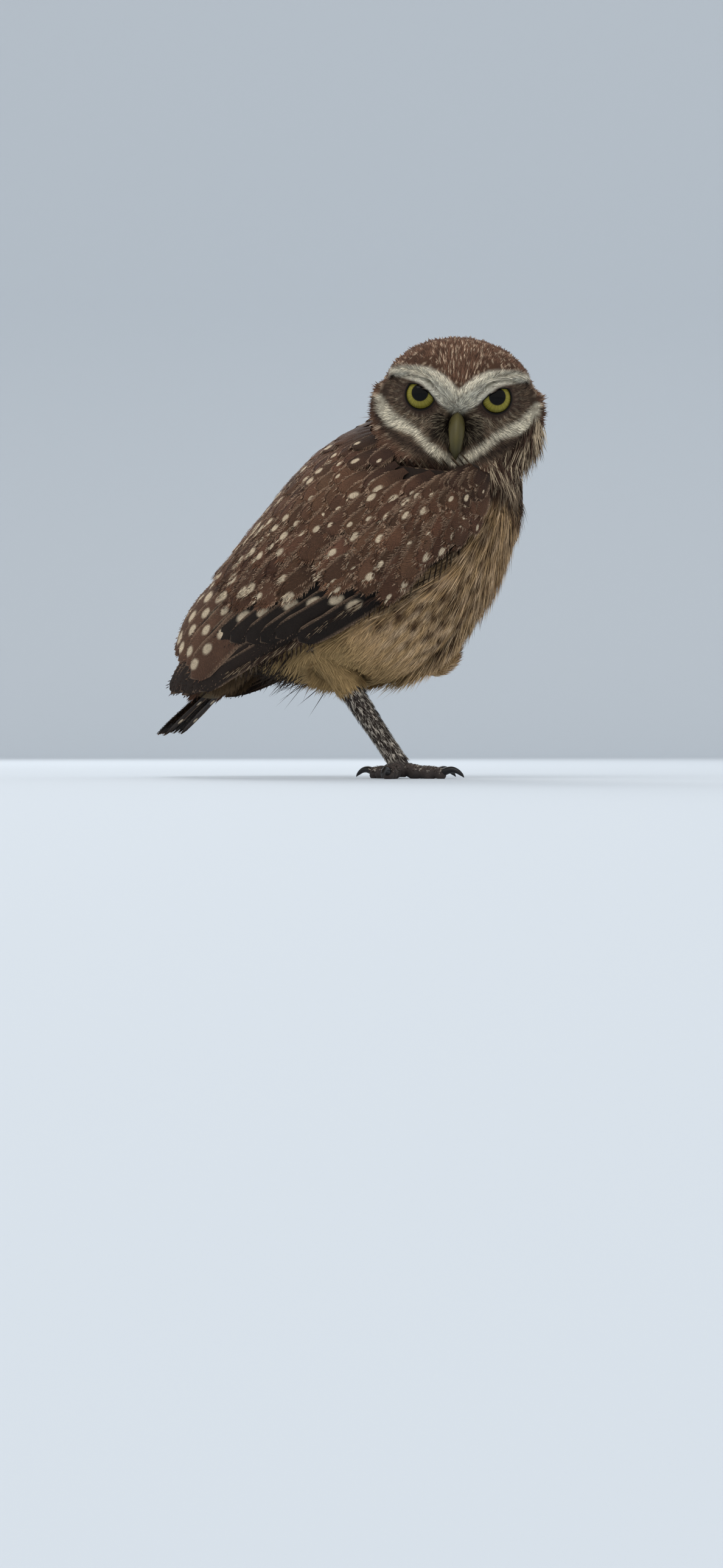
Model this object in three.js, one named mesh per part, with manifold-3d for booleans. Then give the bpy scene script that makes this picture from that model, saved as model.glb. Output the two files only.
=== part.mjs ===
// A burrowing owl standing on its right leg, life size, in millimetres, +Z up. +X is the way the body
// faces, +Y the bird's left. The origin is on the ground, under the ankle of the standing foot. The body
// is modelled whole and parted with thin cuts; the wings, tail and legs are cut clear of the body they lie
// on.
import * as THREE from "three";
import { mergeVertices } from "three/addons/utils/BufferGeometryUtils.js";
import Module from "manifold-3d";

const wasm = await Module();
wasm.setup();

// Driving dimensions
const GAP = 0.3; // between two pieces that touch
const HEAD_HALF_WIDTH = 32; // at the eyes, feathers included
const EYE_RADIUS = 8;
const EYE_SPACING = 28; // between the centres of the two eyes
const TAIL_LENGTH = 83;
const TOE_RADIUS = 2.5;
const HEAD_TURN = -62; // degrees, towards the bird's right
const HEAD_NOD = 9; // degrees, the bill lowered
const HEAD_ROLL = -3.3; // degrees, the left eye lower
const BODY_AT = [2.5, 1]; // the body's own origin, ahead of and beside the standing foot's middle

const DEG = Math.PI / 180;
const V = (x, y, z) => new THREE.Vector3(x, y, z);
const bodyFrame = new THREE.Matrix4().makeTranslation(...BODY_AT, 0);

// Solids

// A closed surface through rings of points, shut at each end by a fan to the ring's own middle.
function skinOver(rings) {
  const sides = rings[0].length;
  const points = rings.flat();
  const faces = [];
  for (let i = 0; i + 1 < rings.length; i++) {
    for (let j = 0; j < sides; j++) {
      const a = i * sides + j;
      const b = i * sides + ((j + 1) % sides);
      faces.push(a, b, b + sides, a, b + sides, a + sides);
    }
  }
  for (const [row, turn] of [[0, 1], [rings.length - 1, 0]]) {
    const middle = points.length;
    points.push(rings[row].reduce((sum, p) => sum.add(p), V(0, 0, 0)).divideScalar(sides));
    for (let j = 0; j < sides; j++) {
      const a = row * sides + j;
      const b = row * sides + ((j + 1) % sides);
      faces.push(middle, turn ? b : a, turn ? a : b);
    }
  }
  const geometry = new THREE.BufferGeometry().setFromPoints(points);
  geometry.setIndex(faces);
  return geometry;
}

// A closed geometry as a solid, its faces turned to point outwards.
function solid(geometry, matrix) {
  let plain = new THREE.BufferGeometry().setAttribute("position", geometry.getAttribute("position").clone());
  plain.setIndex(geometry.index ? geometry.index.clone() : null);
  if (matrix) plain.applyMatrix4(matrix);
  plain = mergeVertices(plain, 1e-4);
  const index = Uint32Array.from(plain.index.array);
  const at = plain.getAttribute("position");
  const [a, b, c] = [V(0, 0, 0), V(0, 0, 0), V(0, 0, 0)];
  let volume = 0;
  for (let i = 0; i < index.length; i += 3) {
    a.fromBufferAttribute(at, index[i]);
    b.fromBufferAttribute(at, index[i + 1]);
    c.fromBufferAttribute(at, index[i + 2]);
    volume += a.dot(b.cross(c));
  }
  if (volume < 0) {
    for (let i = 0; i < index.length; i += 3) [index[i + 1], index[i + 2]] = [index[i + 2], index[i + 1]];
  }
  return new wasm.Manifold(new wasm.Mesh({ numProp: 3, vertProperties: at.array, triVerts: index }));
}

const fuse = (pieces) => pieces.reduce((whole, piece) => whole.add(piece));
const without = (whole, cuts) => cuts.reduce((rest, cut) => rest.subtract(cut), whole);

// The largest closed surface of a solid, with any sealed hollow filled.
function largest(whole) {
  return whole.decompose().reduce((best, piece) => (piece.volume() > best.volume() ? piece : best));
}

// A smooth list: the values of a few stations, read anywhere from 0 to 1.
function through(stations) {
  const curve = new THREE.CatmullRomCurve3(stations.map((v) => V(...v)), false, "catmullrom", 0.5);
  return (s) => curve.getPoint(Math.min(1, Math.max(0, s)));
}

// A round bar along a curve, its radius read along the way, and grown all round by a gap.
function bar(points, radii, { sides = 10, steps = 8, grow = 0 } = {}) {
  const path = through(points.map((p) => [p.x, p.y, p.z]));
  const size = through(radii.map((r) => [r, 0, 0]));
  const rings = [];
  let side = V(0, 0, 0);
  for (let i = 0; i <= steps; i++) {
    const s = i / steps;
    const along = path(Math.min(1, s + 0.02)).sub(path(Math.max(0, s - 0.02))).normalize();
    if (i === 0) side = V(along.y, -along.x, 0).lengthSq() > 0.01 ? V(along.y, -along.x, 0) : V(1, 0, 0);
    side.addScaledVector(along, -side.dot(along)).normalize();
    const up = along.clone().cross(side);
    const middle = path(s).addScaledVector(along, grow * (Number(i === steps) - Number(i === 0)));
    const r = size(s).x + grow;
    rings.push(
      Array.from({ length: sides }, (_, j) => {
        const a = (2 * Math.PI * j) / sides;
        return middle.clone().addScaledVector(side, r * Math.cos(a)).addScaledVector(up, r * Math.sin(a));
      }),
    );
  }
  return skinOver(rings);
}

// A seeded random number between -1 and 1.
function drawer(seed) {
  let state = seed;
  return () => {
    state = (state * 16807) % 2147483647;
    return (2 * state) / 2147483647 - 1;
  };
}

// A flight feather as a thin tapered plate. spine(t) gives its middle, the way across it and the way out
// of the body.
const VANE_THICK = 0.6;
const VANE_STEPS = [0, 0.3, 0.62, 0.87, 1]; // from the root to the tip
const VANE_WIDTHS = [0.55, 0.95, 1, 0.72, 0.12];

function vane(spine, half, { tilt = 0, steps = VANE_STEPS, widths = VANE_WIDTHS } = {}) {
  const points = [];
  steps.forEach((t, i) => {
    const { at, across, out } = spine(t);
    const wide = half * widths[i];
    const thick = VANE_THICK * (i === steps.length - 1 ? 0.35 : 0.5);
    for (const [edge, face] of [[-1, 1], [1, 1], [-1, -1], [1, -1]]) {
      const p = at.clone().addScaledVector(across, edge * wide);
      points.push(p.addScaledVector(out, edge * tilt * wide + face * thick));
    }
  });
  const faces = [0, 1, 3, 0, 3, 2];
  for (let i = 0; i + 1 < steps.length; i++) {
    const [a, b, c, d] = [4 * i, 4 * i + 1, 4 * i + 2, 4 * i + 3];
    faces.push(a, a + 4, b + 4, a, b + 4, b, c, d + 4, c + 4, c, d, d + 4);
    faces.push(b, b + 4, d + 4, b, d + 4, d, a, c + 4, a + 4, a, c, c + 4);
  }
  const end = 4 * (steps.length - 1);
  faces.push(end, end + 3, end + 1, end, end + 2, end + 3);
  return new THREE.BufferGeometry().setFromPoints(points).setIndex(faces);
}

// Body: each station has the back's point, the belly's point (x and z) and the half width
const TRUNK = [
  { back: [-88, 63], belly: [-77, 49], half: 8 },
  { back: [-76, 82], belly: [-57, 40], half: 19 },
  { back: [-60, 103], belly: [-32, 35], half: 29 },
  { back: [-44, 121], belly: [-5, 38], half: 35 },
  { back: [-28, 134], belly: [18, 51], half: 38 },
  { back: [-15, 142], belly: [35, 74], half: 38 },
  { back: [-7, 149], belly: [45, 97], half: 34 },
  { back: [-2, 156], belly: [51, 115], half: 27 },
  { back: [6, 160], belly: [47, 128], half: 17 },
];
const trunkBack = through(TRUNK.map(({ back }) => [back[0], 0, back[1]]));
const trunkBelly = through(TRUNK.map(({ belly }) => [belly[0], 0, belly[1]]));
const trunkHalf = through(TRUNK.map(({ half }) => [half, 0, 0]));

// A point of the trunk: s from the rump to the throat, the angle from the left side up to the back, and
// how far it stands off.
function trunkPoint(s, angle, off) {
  const up = trunkBack(s).sub(trunkBelly(s)).multiplyScalar(0.5);
  const end = Math.sin(Math.PI * Math.min(0.5, 4 * s + 0.16)); // rounded off at the root of the tail
  const p = trunkBelly(s).add(up);
  p.addScaledVector(up.clone().normalize(), end * (up.length() + off) * Math.sin(angle * DEG));
  p.y += end * (trunkHalf(s).x + off) * Math.cos(angle * DEG);
  return p;
}

function trunk(grow = 0, { steps = 18, sides = 22 } = {}) {
  const rings = [];
  for (let i = 0; i <= steps; i++) {
    rings.push(Array.from({ length: sides }, (_, j) => trunkPoint(i / steps, (360 * j) / sides, grow)));
  }
  return solid(skinOver(rings), bodyFrame);
}

// Head, in its own frame: +X out of the face, +Y the bird's left, +Z up
const HEAD_AT = V(26.7, -5, 150.5);
const headFrame = new THREE.Matrix4().compose(
  HEAD_AT,
  new THREE.Quaternion().setFromEuler(
    new THREE.Euler(HEAD_ROLL * DEG, HEAD_NOD * DEG, HEAD_TURN * DEG, "ZYX"),
  ),
  V(1, 1, 1),
);
// Half widths round the face's axis, from straight down to straight up
const ROUND_AT_EYES = 33;
const HEAD_ROUND = [25, 29, 33.5, 36.5, 36.5, 34.5, 33, 32, 30, 28.6, 28];
// From the middle of the face to the nape: how far forward, and the share of the half width
const HEAD_LONG = [
  [20.5, 0.02], [20, 0.2], [19, 0.4], [17, 0.6], [13, 0.8], [6, 0.95],
  [-3, 1], [-12, 0.95], [-21, 0.8], [-28, 0.52], [-31, 0.2], [-31.5, 0.02],
];
const headRound = through(HEAD_ROUND.map((r) => [(r * HEAD_HALF_WIDTH) / ROUND_AT_EYES, 0, 0]));
const headLong = through(HEAD_LONG.map(([x, share]) => [x, share, 0]));

function headForm({ steps = 14, sides = 22 } = {}) {
  const rings = [];
  for (let i = 0; i <= steps; i++) {
    const { x, y: share } = headLong(i / steps);
    const ring = [];
    for (let j = 0; j < sides; j++) {
      const a = (2 * Math.PI * j) / sides;
      const r = share * headRound(0.5 + Math.asin(Math.sin(a)) / Math.PI).x;
      ring.push(V(x, r * Math.cos(a), r * Math.sin(a)));
    }
    rings.push(ring);
  }
  return skinOver(rings);
}

const eyeAt = (side) => V(12.6, (side * EYE_SPACING) / 2, 3);
const eyeball = (side, grow) => {
  const ball = new THREE.SphereGeometry(EYE_RADIUS + grow, 16, 10);
  return solid(ball, new THREE.Matrix4().makeTranslation(eyeAt(side)));
};

// The white brow: a soft ridge from over the bill up and out above each eye.
function brow(side) {
  const route = [V(20.5, 0.8, 0), V(22, 5, 5), V(21, 12, 10), V(16.5, 21, 12.5), V(9, 28.5, 12.5)];
  const points = route.map((p) => V(p.x, side * p.y, p.z));
  return solid(bar(points, [2.6, 3.2, 3.4, 3, 1.4], { sides: 6, steps: 7 }));
}

// The rim of the facial disc, from beside the eye round the cheek to the chin.
function discRim(side) {
  const route = [V(9, 30, 8), V(7.5, 32.5, -3), V(9, 28, -14), V(12.5, 18, -22), V(14.5, 5, -25)];
  const points = route.map((p) => V(p.x, side * p.y, p.z));
  return solid(bar(points, [2.2, 3, 3.4, 3.2, 2.2], { sides: 6, steps: 8 }));
}

// The rim of bare lid round an eye.
function lid(side) {
  const ring = new THREE.TorusGeometry(6.3, 1.1, 4, 14);
  const out = V(1, side * 0.16, 0).normalize();
  const turn = new THREE.Quaternion().setFromUnitVectors(V(0, 0, 1), out);
  return solid(ring, new THREE.Matrix4().compose(eyeAt(side).addScaledVector(out, 5.6), turn, V(1, 1, 1)));
}

// Bill, in the head's frame: each half has its upper line, its lower line and its half widths, from the
// root to the tip
const UPPER_BILL = {
  over: [[14, -3], [21.5, -3.6], [26.5, -6.5], [29.6, -12], [29.6, -17], [27.6, -21.6]],
  under: [[13, -13], [18.5, -13.5], [22.5, -14.5], [25, -16.3], [26.4, -18.6], [27.3, -21.9]],
  half: [3, 3.2, 3.1, 2.6, 1.8, 0.35],
};
const LOWER_BILL = {
  over: [[12, -14], [18, -14.3], [22, -15.3], [24.4, -17.2], [25.4, -18.9]],
  under: [[11, -19], [17, -19.2], [21, -19.4], [23.8, -19.6], [25.3, -19.3]],
  half: [2.7, 2.7, 2.4, 1.7, 0.4],
};

function billForm({ over, under, half }, grow, { steps = 8, sides = 10 } = {}) {
  const top = through(over.map(([x, z]) => [x, 0, z]));
  const bottom = through(under.map(([x, z]) => [x, 0, z]));
  const wide = through(half.map((h) => [h, 0, 0]));
  const rings = [];
  for (let i = 0; i <= steps; i++) {
    const s = i / steps;
    const middle = top(s).add(bottom(s)).multiplyScalar(0.5);
    const up = top(s).sub(bottom(s)).multiplyScalar(0.5);
    up.setLength(up.length() + grow);
    if (i === 0) middle.x -= grow;
    if (i === steps) middle.z -= grow;
    rings.push(
      Array.from({ length: sides }, (_, j) => {
        const a = (2 * Math.PI * j) / sides;
        return middle.clone().addScaledVector(up, Math.sin(a)).add(V(0, (wide(s).x + grow) * Math.cos(a), 0));
      }),
    );
  }
  return solid(skinOver(rings));
}

function upperBill() {
  let whole = billForm(UPPER_BILL, 0);
  for (const side of [1, -1]) {
    const nostril = new THREE.SphereGeometry(1, 8, 5).scale(1.3, 1, 0.8);
    whole = whole.subtract(solid(nostril, new THREE.Matrix4().makeTranslation(22.6, side * 3.1, -8)));
  }
  return whole;
}

// Wings: a cloak over the body, from the shoulders to the wing tips. Each station has the back's point and
// the point at the widest level (x and z), the half width there, and how far the cloak would reach below
// that level
const CLOAK = [
  { back: [0, 154], wide: [42, 124], half: 29, drop: 12 },
  { back: [-13, 147], wide: [26, 111], half: 38, drop: 26 },
  { back: [-36, 136], wide: [1, 95], half: 42, drop: 42 },
  { back: [-57, 116], wide: [-25, 81], half: 42, drop: 46 },
  { back: [-79, 95], wide: [-52, 65], half: 34, drop: 36 },
  { back: [-101, 75], wide: [-81, 49], half: 24, drop: 24 },
  { back: [-117, 48], wide: [-108, 32], half: 12, drop: 12 },
];
// The edges of the folded wing, as angles on the cloak, from the shoulder to the tip: the lower and the
// upper
const WING_LOW = [-30, -52, -38, -31, -30, -22, 0];
const WING_HIGH = [-10, 22, 56, 76, 86, 86, 60];
// The left wing's shoulder is drawn in behind the turned head, less and less along the wing
const LEFT_TUCK = V(-4, -3, 0);
const LEFT_TUCK_END = 0.35;
const cloakBack = through(CLOAK.map(({ back }) => [back[0], 0, back[1]]));
const cloakWide = through(CLOAK.map(({ wide }) => [wide[0], 0, wide[1]]));
const cloakSize = through(CLOAK.map(({ half, drop }) => [half, drop, 0]));
const wingLow = through(WING_LOW.map((a) => [a, 0, 0]));
const wingHigh = through(WING_HIGH.map((a) => [a, 0, 0]));

// A point of the cloak: s from the shoulder to the tip, the angle from the widest level up to the mid line
// of the back, and how far it stands off.
function cloak(side, s, angle, off) {
  const wide = cloakWide(s);
  const up = cloakBack(s).sub(wide);
  const { x: half, y: drop } = cloakSize(s);
  const reach = angle > 0 ? up.length() : drop;
  const p = wide.addScaledVector(up.normalize(), (reach + off) * Math.sin(angle * DEG));
  p.y = side * Math.max(GAP, (half + off) * Math.cos(angle * DEG));
  return side > 0 ? p.addScaledVector(LEFT_TUCK, Math.max(0, 1 - s / LEFT_TUCK_END)) : p;
}

// How far the wing's core lies under the cloak: deeper where the long feathers are stacked.
const coreDrop = (s) => 2 + 1.2 * Math.min(1, Math.max(0, (s - 0.2) / 0.3));

// A shell on the cloak between two depths, from the shoulder to s = end, with its lower and upper edges
// moved out.
function shell(side, { end, outer, inner, edge = 0, spare = 0, steps = 13, across = 8 }) {
  const rings = [];
  for (let i = 0; i <= steps; i++) {
    const s = (end * i) / steps;
    const low = wingLow(s).x - spare;
    const high = Math.min(88, wingHigh(s).x + spare);
    const [over, under] = [[], []];
    for (let j = 0; j <= across; j++) {
      const t = j / across;
      const angle = low + (high - low) * t;
      const round = edge ? Math.pow(Math.sin(Math.PI * t), 0.6) : 1;
      const [top, bottom] = [outer(s), inner(s)];
      over.push(cloak(side, s, angle, top - 0.8 * (1 - round)));
      under.unshift(cloak(side, s, angle, top - edge + (bottom - top + edge) * round));
    }
    rings.push([...over, ...under]);
  }
  return solid(skinOver(rings), bodyFrame);
}

// Wing core: thick over the body and thin at its edges, from the shoulder to where only feathers go on.
const CORE_END = 0.8;
const coreDeep = (s) => 9 - 3 * Math.min(1, Math.max(0, s - 0.5) / 0.2);
const wingCore = (side) =>
  shell(side, { end: CORE_END, outer: (s) => -coreDrop(s), inner: (s) => -coreDeep(s), edge: 1.2 });
// The room that the wing takes up, with the gap, from under its core out past its feathers.
const wingBed = (side) =>
  shell(side, { end: 1.02, outer: () => 14, inner: (s) => -coreDeep(s) - 2 * GAP, spare: 7 });

// Tiers of folded feathers on the cloak: for the lowest and the highest feather of a tier, where its root
// and its tip lie along the wing and up the cloak (angle). Then their number, their half width, and how
// far their tips stand off.
const TIERS = [
  {
    name: "primaries",
    low: [0.46, -24, 0.92, -18],
    high: [0.5, 6, 1.02, 24],
    count: 5,
    half: 4.4,
    off: -1.9,
  },
  {
    name: "secondaries",
    low: [0.32, -30, 0.62, -25],
    high: [0.46, 26, 0.93, 28],
    count: 6,
    half: 5,
    off: -0.9,
  },
  {
    name: "tertials",
    low: [0.46, 34, 0.93, 40],
    high: [0.5, 64, 0.94, 64],
    count: 3,
    half: 6,
    off: 0,
  },
  {
    name: "greater coverts",
    low: [0.18, -36, 0.42, -32],
    high: [0.34, 36, 0.64, 38],
    count: 6,
    half: 5,
    off: -0.1,
  },
  {
    name: "median coverts",
    low: [0.1, -38, 0.27, -36],
    high: [0.22, 28, 0.42, 34],
    count: 5,
    half: 5.4,
    off: 0.4,
  },
  {
    name: "scapulars",
    low: [0.24, 30, 0.5, 46],
    high: [0.34, 52, 0.62, 72],
    count: 4,
    half: 5.6,
    off: 0.8,
  },
  {
    name: "lesser coverts",
    low: [0.04, -34, 0.16, -40],
    high: [0.1, 6, 0.27, 22],
    count: 4,
    half: 5.6,
    off: 0.8,
  },
];
const SHORT_STEPS = [0, 0.4, 0.8, 1];
const SHORT_WIDTHS = [0.6, 1, 0.85, 0.2];
const ROOT_SUNK = 1.3; // how deep a root goes into the core
const SHINGLE = 0.15; // how much one edge of a feather lies higher than the other, for its width

function wingFeathers(side) {
  const draw = drawer(side > 0 ? 41 : 97);
  const pieces = [];
  for (const { low, high, count, half, off } of TIERS) {
    for (let k = 0; k < count; k++) {
      const share = k / (count - 1);
      const [root, rootAngle, tip, tipAngle] = low.map((v, i) => v + (high[i] - v) * share);
      const end = tip + 0.008 * draw();
      const swing = 1.2 * draw();
      const sunk = -coreDrop(root) - ROOT_SUNK;
      const spine = (t) => {
        const s = root + (end - root) * t;
        const angle = rootAngle + (tipAngle + swing - rootAngle) * t;
        const stand = sunk + (off - sunk) * Math.pow(t, 0.7);
        const at = cloak(side, s, angle, stand);
        const out = cloak(side, s, angle, stand + 1).sub(at).normalize();
        const across = cloak(side, s, angle + 2, stand).sub(at).normalize();
        out.addScaledVector(across, -out.dot(across)).normalize();
        return { at, across, out };
      };
      const shape = tip - root < 0.25 ? { steps: SHORT_STEPS, widths: SHORT_WIDTHS } : {};
      pieces.push(solid(vane(spine, half * (1 + 0.06 * draw()), { tilt: SHINGLE, ...shape }), bodyFrame));
    }
  }
  return pieces;
}

// Tail: a closed fan under the wing tips
const TAIL_ROOT = V(-71, 0, 57);
const TAIL_CORE = 34; // how far the coverts cover the tail
const TAIL_PAIRS = 6;
const TAIL_DOWN = 38; // degrees below level
const TAIL_CLEAR = 0.4; // between the wings and the tail under them
const tailAlong = V(-Math.cos(TAIL_DOWN * DEG), 0, -Math.sin(TAIL_DOWN * DEG));
const tailUp = V(-Math.sin(TAIL_DOWN * DEG), 0, Math.cos(TAIL_DOWN * DEG));

// The core under the tail's coverts.
function tailForm({ steps = 7, sides = 12 } = {}) {
  const rings = [];
  for (let i = 0; i <= steps; i++) {
    const s = i / steps;
    const half = 9 + 2 * s;
    const thick = 7 - 3.6 * s;
    const centre = TAIL_ROOT.clone().addScaledVector(tailAlong, s * TAIL_CORE);
    rings.push(
      Array.from({ length: sides }, (_, j) => {
        const a = (2 * Math.PI * j) / sides;
        return centre.clone().addScaledVector(tailUp, thick * Math.sin(a)).add(V(0, half * Math.cos(a), 0));
      }),
    );
  }
  return solid(skinOver(rings), bodyFrame);
}

// The tail feathers of one side lie under one another, the middle one on top and longest.
function tailFeathers() {
  const draw = drawer(23);
  const pieces = [];
  for (const side of [1, -1]) {
    for (let k = 0; k < TAIL_PAIRS; k++) {
      const aside = side * (k === 0 ? 0.8 : 1.8 + 0.75 * k);
      const level = 2.2 - 0.95 * k + (k === 0 && side > 0 ? 0.95 : 0);
      const reach = TAIL_LENGTH - 18 - 1.3 * k + draw();
      const from = TAIL_CORE - 16;
      const spine = (t) => {
        const at = TAIL_ROOT.clone().addScaledVector(tailAlong, from + (reach - from) * t);
        at.addScaledVector(tailUp, level * (0.55 + 0.45 * t));
        at.y += aside * (0.6 + 0.4 * t);
        return { at, across: V(0, 1, 0), out: tailUp };
      };
      pieces.push(solid(vane(spine, 3.6, { tilt: -0.04 * side }), bodyFrame));
    }
  }
  return pieces;
}

// Right leg: the feathered thigh and shank down to the foot
const ANKLE = V(-0.5, 0, 7);
const HOCK = V(-22, -11, 45); // hidden in the belly's feathers
const shankRoute = [V(-29, -15, 56), HOCK, V(-14, -7, 30), V(-6.5, -3, 17), ANKLE];
const shank = (grow = 0) =>
  solid(bar(shankRoute, [8, 6.6, 5.4, 4.5, 4.2], { sides: 12, steps: 8, grow }));

// Toes of the standing foot: the way each points (degrees from +X, towards the left), and its length
// without the claw
const TOES = [
  { name: "hind", turn: 172, length: 14 },
  { name: "inner", turn: 58, length: 19 },
  { name: "middle", turn: 4, length: 21 },
  { name: "outer", turn: -76, length: 18 },
];
const FLOOR_CUT = 0.45; // how deep the pads press flat
const TOE_LEVEL = TOE_RADIUS - FLOOR_CUT;
const toeWay = ({ turn }) => V(Math.cos(turn * DEG), Math.sin(turn * DEG), 0);
const alongToe = (toe, reach, z) => toeWay(toe).multiplyScalar(reach).setZ(z);

// A toe swells at each pad, and the ground cuts the pads flat: how far along the toe, and how high its
// line runs.
const TOE_PADS = [
  [0, 1.8], [0.2, 1.6], [0.36, 0.7], [0.5, 0.6], [0.66, 0.2], [0.8, 0.4], [0.92, 0], [1, 0.6],
];
function toeForm(toe) {
  const points = TOE_PADS.map(([share, lift]) => alongToe(toe, share * toe.length, TOE_LEVEL + lift));
  return solid(bar(points, [3.2, 2.6, 2.9, 2.3, 2.8, 2.1, 2.6, 1.8], { sides: 6, steps: 10 }));
}

// A claw: how far past the toe's end and how high its line runs, and its radii
const CLAW = [[-0.8, 0.5], [2, 1.6], [4.8, 1.2], [7, -0.2], [8.2, -1.45]];
const clawForm = (toe, grow = 0) =>
  solid(
    bar(
      CLAW.map(([reach, lift]) => alongToe(toe, toe.length + reach, TOE_LEVEL + lift)),
      [1.6, 1.45, 1.1, 0.7, 0.22],
      { sides: 7, steps: 6, grow },
    ),
  );

function standingFoot() {
  const knuckle = solid(new THREE.SphereGeometry(4.6, 10, 8), new THREE.Matrix4().makeTranslation(0, 0, 4));
  const ground = solid(new THREE.BoxGeometry(200, 200, 20), new THREE.Matrix4().makeTranslation(0, 0, -10));
  const claws = TOES.map((toe) => clawForm(toe, GAP));
  return without(fuse([knuckle, ...TOES.map(toeForm)]), [ground, shank(GAP), ...claws]);
}

// Left leg, drawn up in the feathers of the belly: the shank lies along the flank and the toes close in
// front of it
const FIST_AT = trunkPoint(0.44, -50, 0).add(V(...BODY_AT, 0));
const FIST_OUT = V(0.3, 0.73, -0.61).normalize();
const FIST_AHEAD = V(0.9, 0, 0.35).addScaledVector(FIST_OUT, -0.3).normalize();
const FIST_ACROSS = FIST_AHEAD.clone().cross(FIST_OUT);
const FIST_ROWS = [-1.5, -0.5, 0.5, 1.5];
const FIST_SPACING = 3.9;

// A point of the closed foot: forward and out from the belly, for the toe at a place in the row.
function fistPoint(row, [ahead, out]) {
  const p = FIST_AT.clone().addScaledVector(FIST_AHEAD, ahead - 0.7 * Math.abs(row));
  return p.addScaledVector(FIST_OUT, out).addScaledVector(FIST_ACROSS, FIST_SPACING * row);
}

const FLANK_POINTS = [trunkPoint(0.2, -38, -6), trunkPoint(0.27, -41, -2.5), trunkPoint(0.34, -45, -1)];
const leftShankRoute = FLANK_POINTS.map((p) => p.add(V(...BODY_AT, 0)));
const leftShank = (grow = 0) =>
  solid(bar([...leftShankRoute, fistPoint(0, [-6, 1])], [8, 7, 6, 5], { sides: 12, steps: 7, grow }));

const fistBar = (row, route, radii, grow) =>
  solid(bar(route.map((p) => fistPoint(row, p)), radii, { sides: 6, steps: 5, grow }));
const fistToe = (row, grow = 0) =>
  fistBar(row, [[-6, 0.5], [-1.5, 3], [3.5, 4.2], [6.5, 3]], [2.7, 2.5, 2.3, 1.8], grow);
const fistClaw = (row, grow = 0) =>
  fistBar(row, [[6, 3.2], [8.6, 2.2], [9.8, 0], [9, -2.2]], [1.5, 1.3, 0.85, 0.25], grow);

function leftFoot() {
  const claws = FIST_ROWS.map((row) => fistClaw(row, GAP));
  return without(fuse(FIST_ROWS.map((row) => fistToe(row))), [leftShank(GAP), ...claws]);
}

// Assembly
const owl = new THREE.Group();
const FINISH = {
  brown: { color: 0x5a4436, roughness: 0.9 },
  buff: { color: 0xb39b76, roughness: 0.9 },
  horn: { color: 0x6f6b3c, roughness: 0.45 },
  eye: { color: 0xb8a92c, roughness: 0.08 },
  claw: { color: 0x1d1a1a, roughness: 0.35 },
  shank: { color: 0x57463c, roughness: 0.85 },
};

function add(name, whole, finish) {
  const { numProp, vertProperties, triVerts } = largest(whole).getMesh();
  const points = [];
  for (let i = 0; i < vertProperties.length; i += numProp) points.push(...vertProperties.slice(i, i + 3));
  const geometry = new THREE.BufferGeometry();
  geometry.setAttribute("position", new THREE.Float32BufferAttribute(points, 3));
  geometry.setIndex(Array.from(triVerts));
  const mesh = new THREE.Mesh(geometry, new THREE.MeshStandardMaterial({ ...FINISH[finish], metalness: 0 }));
  mesh.name = name;
  owl.add(mesh);
}

const SIDES = { left: 1, right: -1 };
const headPlace = bodyFrame.clone().multiply(headFrame);
const onHead = (whole) => whole.transform(headPlace.elements);

// One flesh from the rump to the crown, then two thin cuts
const faceForms = [1, -1].flatMap((side) => [brow(side), discRim(side), lid(side)]);
const flesh = fuse([trunk(), onHead(solid(headForm())), ...faceForms.map(onHead)]);

// Half of space above or below a flat cut of the gap's width.
function halfSpace(at, direction, way) {
  const turn = new THREE.Quaternion().setFromUnitVectors(V(0, 0, 1), direction.clone().normalize());
  const big = new THREE.BoxGeometry(400, 400, 400).translate(0, 0, way * (200 + GAP / 2));
  return solid(big, new THREE.Matrix4().compose(at, turn, V(1, 1, 1)));
}
const HEAD_CUT = [V(24, 1, 129), V(0.12, -0.1, 1)];
const NECK_CUT = [V(22, 1, 114), V(0.42, 0, 1)];

const beds = [
  ...[1, -1].map(wingBed),
  onHead(billForm(UPPER_BILL, GAP)),
  onHead(billForm(LOWER_BILL, GAP)),
  ...[1, -1].map((side) => onHead(eyeball(side, GAP))),
  shank(GAP),
  leftShank(GAP),
  ...FIST_ROWS.map((row) => fistToe(row, GAP)),
  ...FIST_ROWS.map((row) => fistClaw(row, GAP)),
];
const cleared = without(flesh, beds);

add("torso", cleared.intersect(halfSpace(...NECK_CUT, -1)), "buff");
add("neck", cleared.intersect(halfSpace(...HEAD_CUT, -1)).intersect(halfSpace(...NECK_CUT, 1)), "brown");
add("head", cleared.intersect(halfSpace(...HEAD_CUT, 1)), "brown");
const wings = {};
for (const [name, side] of Object.entries(SIDES)) {
  wings[name] = largest(fuse([wingCore(side), ...wingFeathers(side)]));
}
const belowWing = tailUp.clone().multiplyScalar(-TAIL_CLEAR).toArray();
const underWings = Object.values(wings).flatMap((wing) => [wing, wing.translate(belowWing)]);
for (const [name, side] of Object.entries(SIDES)) {
  add(`eye_${name}`, onHead(eyeball(side, 0)), "eye");
  add(`wing_${name}`, wings[name], "brown");
}
add("bill_upper", onHead(upperBill()), "horn");
add("bill_lower", onHead(billForm(LOWER_BILL, 0)), "horn");
add("tail", without(fuse([tailForm(), ...tailFeathers()]), [trunk(GAP), ...underWings]), "brown");
add("leg_right", shank(), "shank");
add("foot_right", standingFoot(), "shank");
for (const toe of TOES) add(`claw_right_${toe.name}`, clawForm(toe), "claw");
add("leg_left", leftShank(), "shank");
add("foot_left", leftFoot(), "shank");
FIST_ROWS.forEach((row, i) => add(`claw_left_${i + 1}`, fistClaw(row), "claw"));

export default owl;
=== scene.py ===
import math

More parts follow.
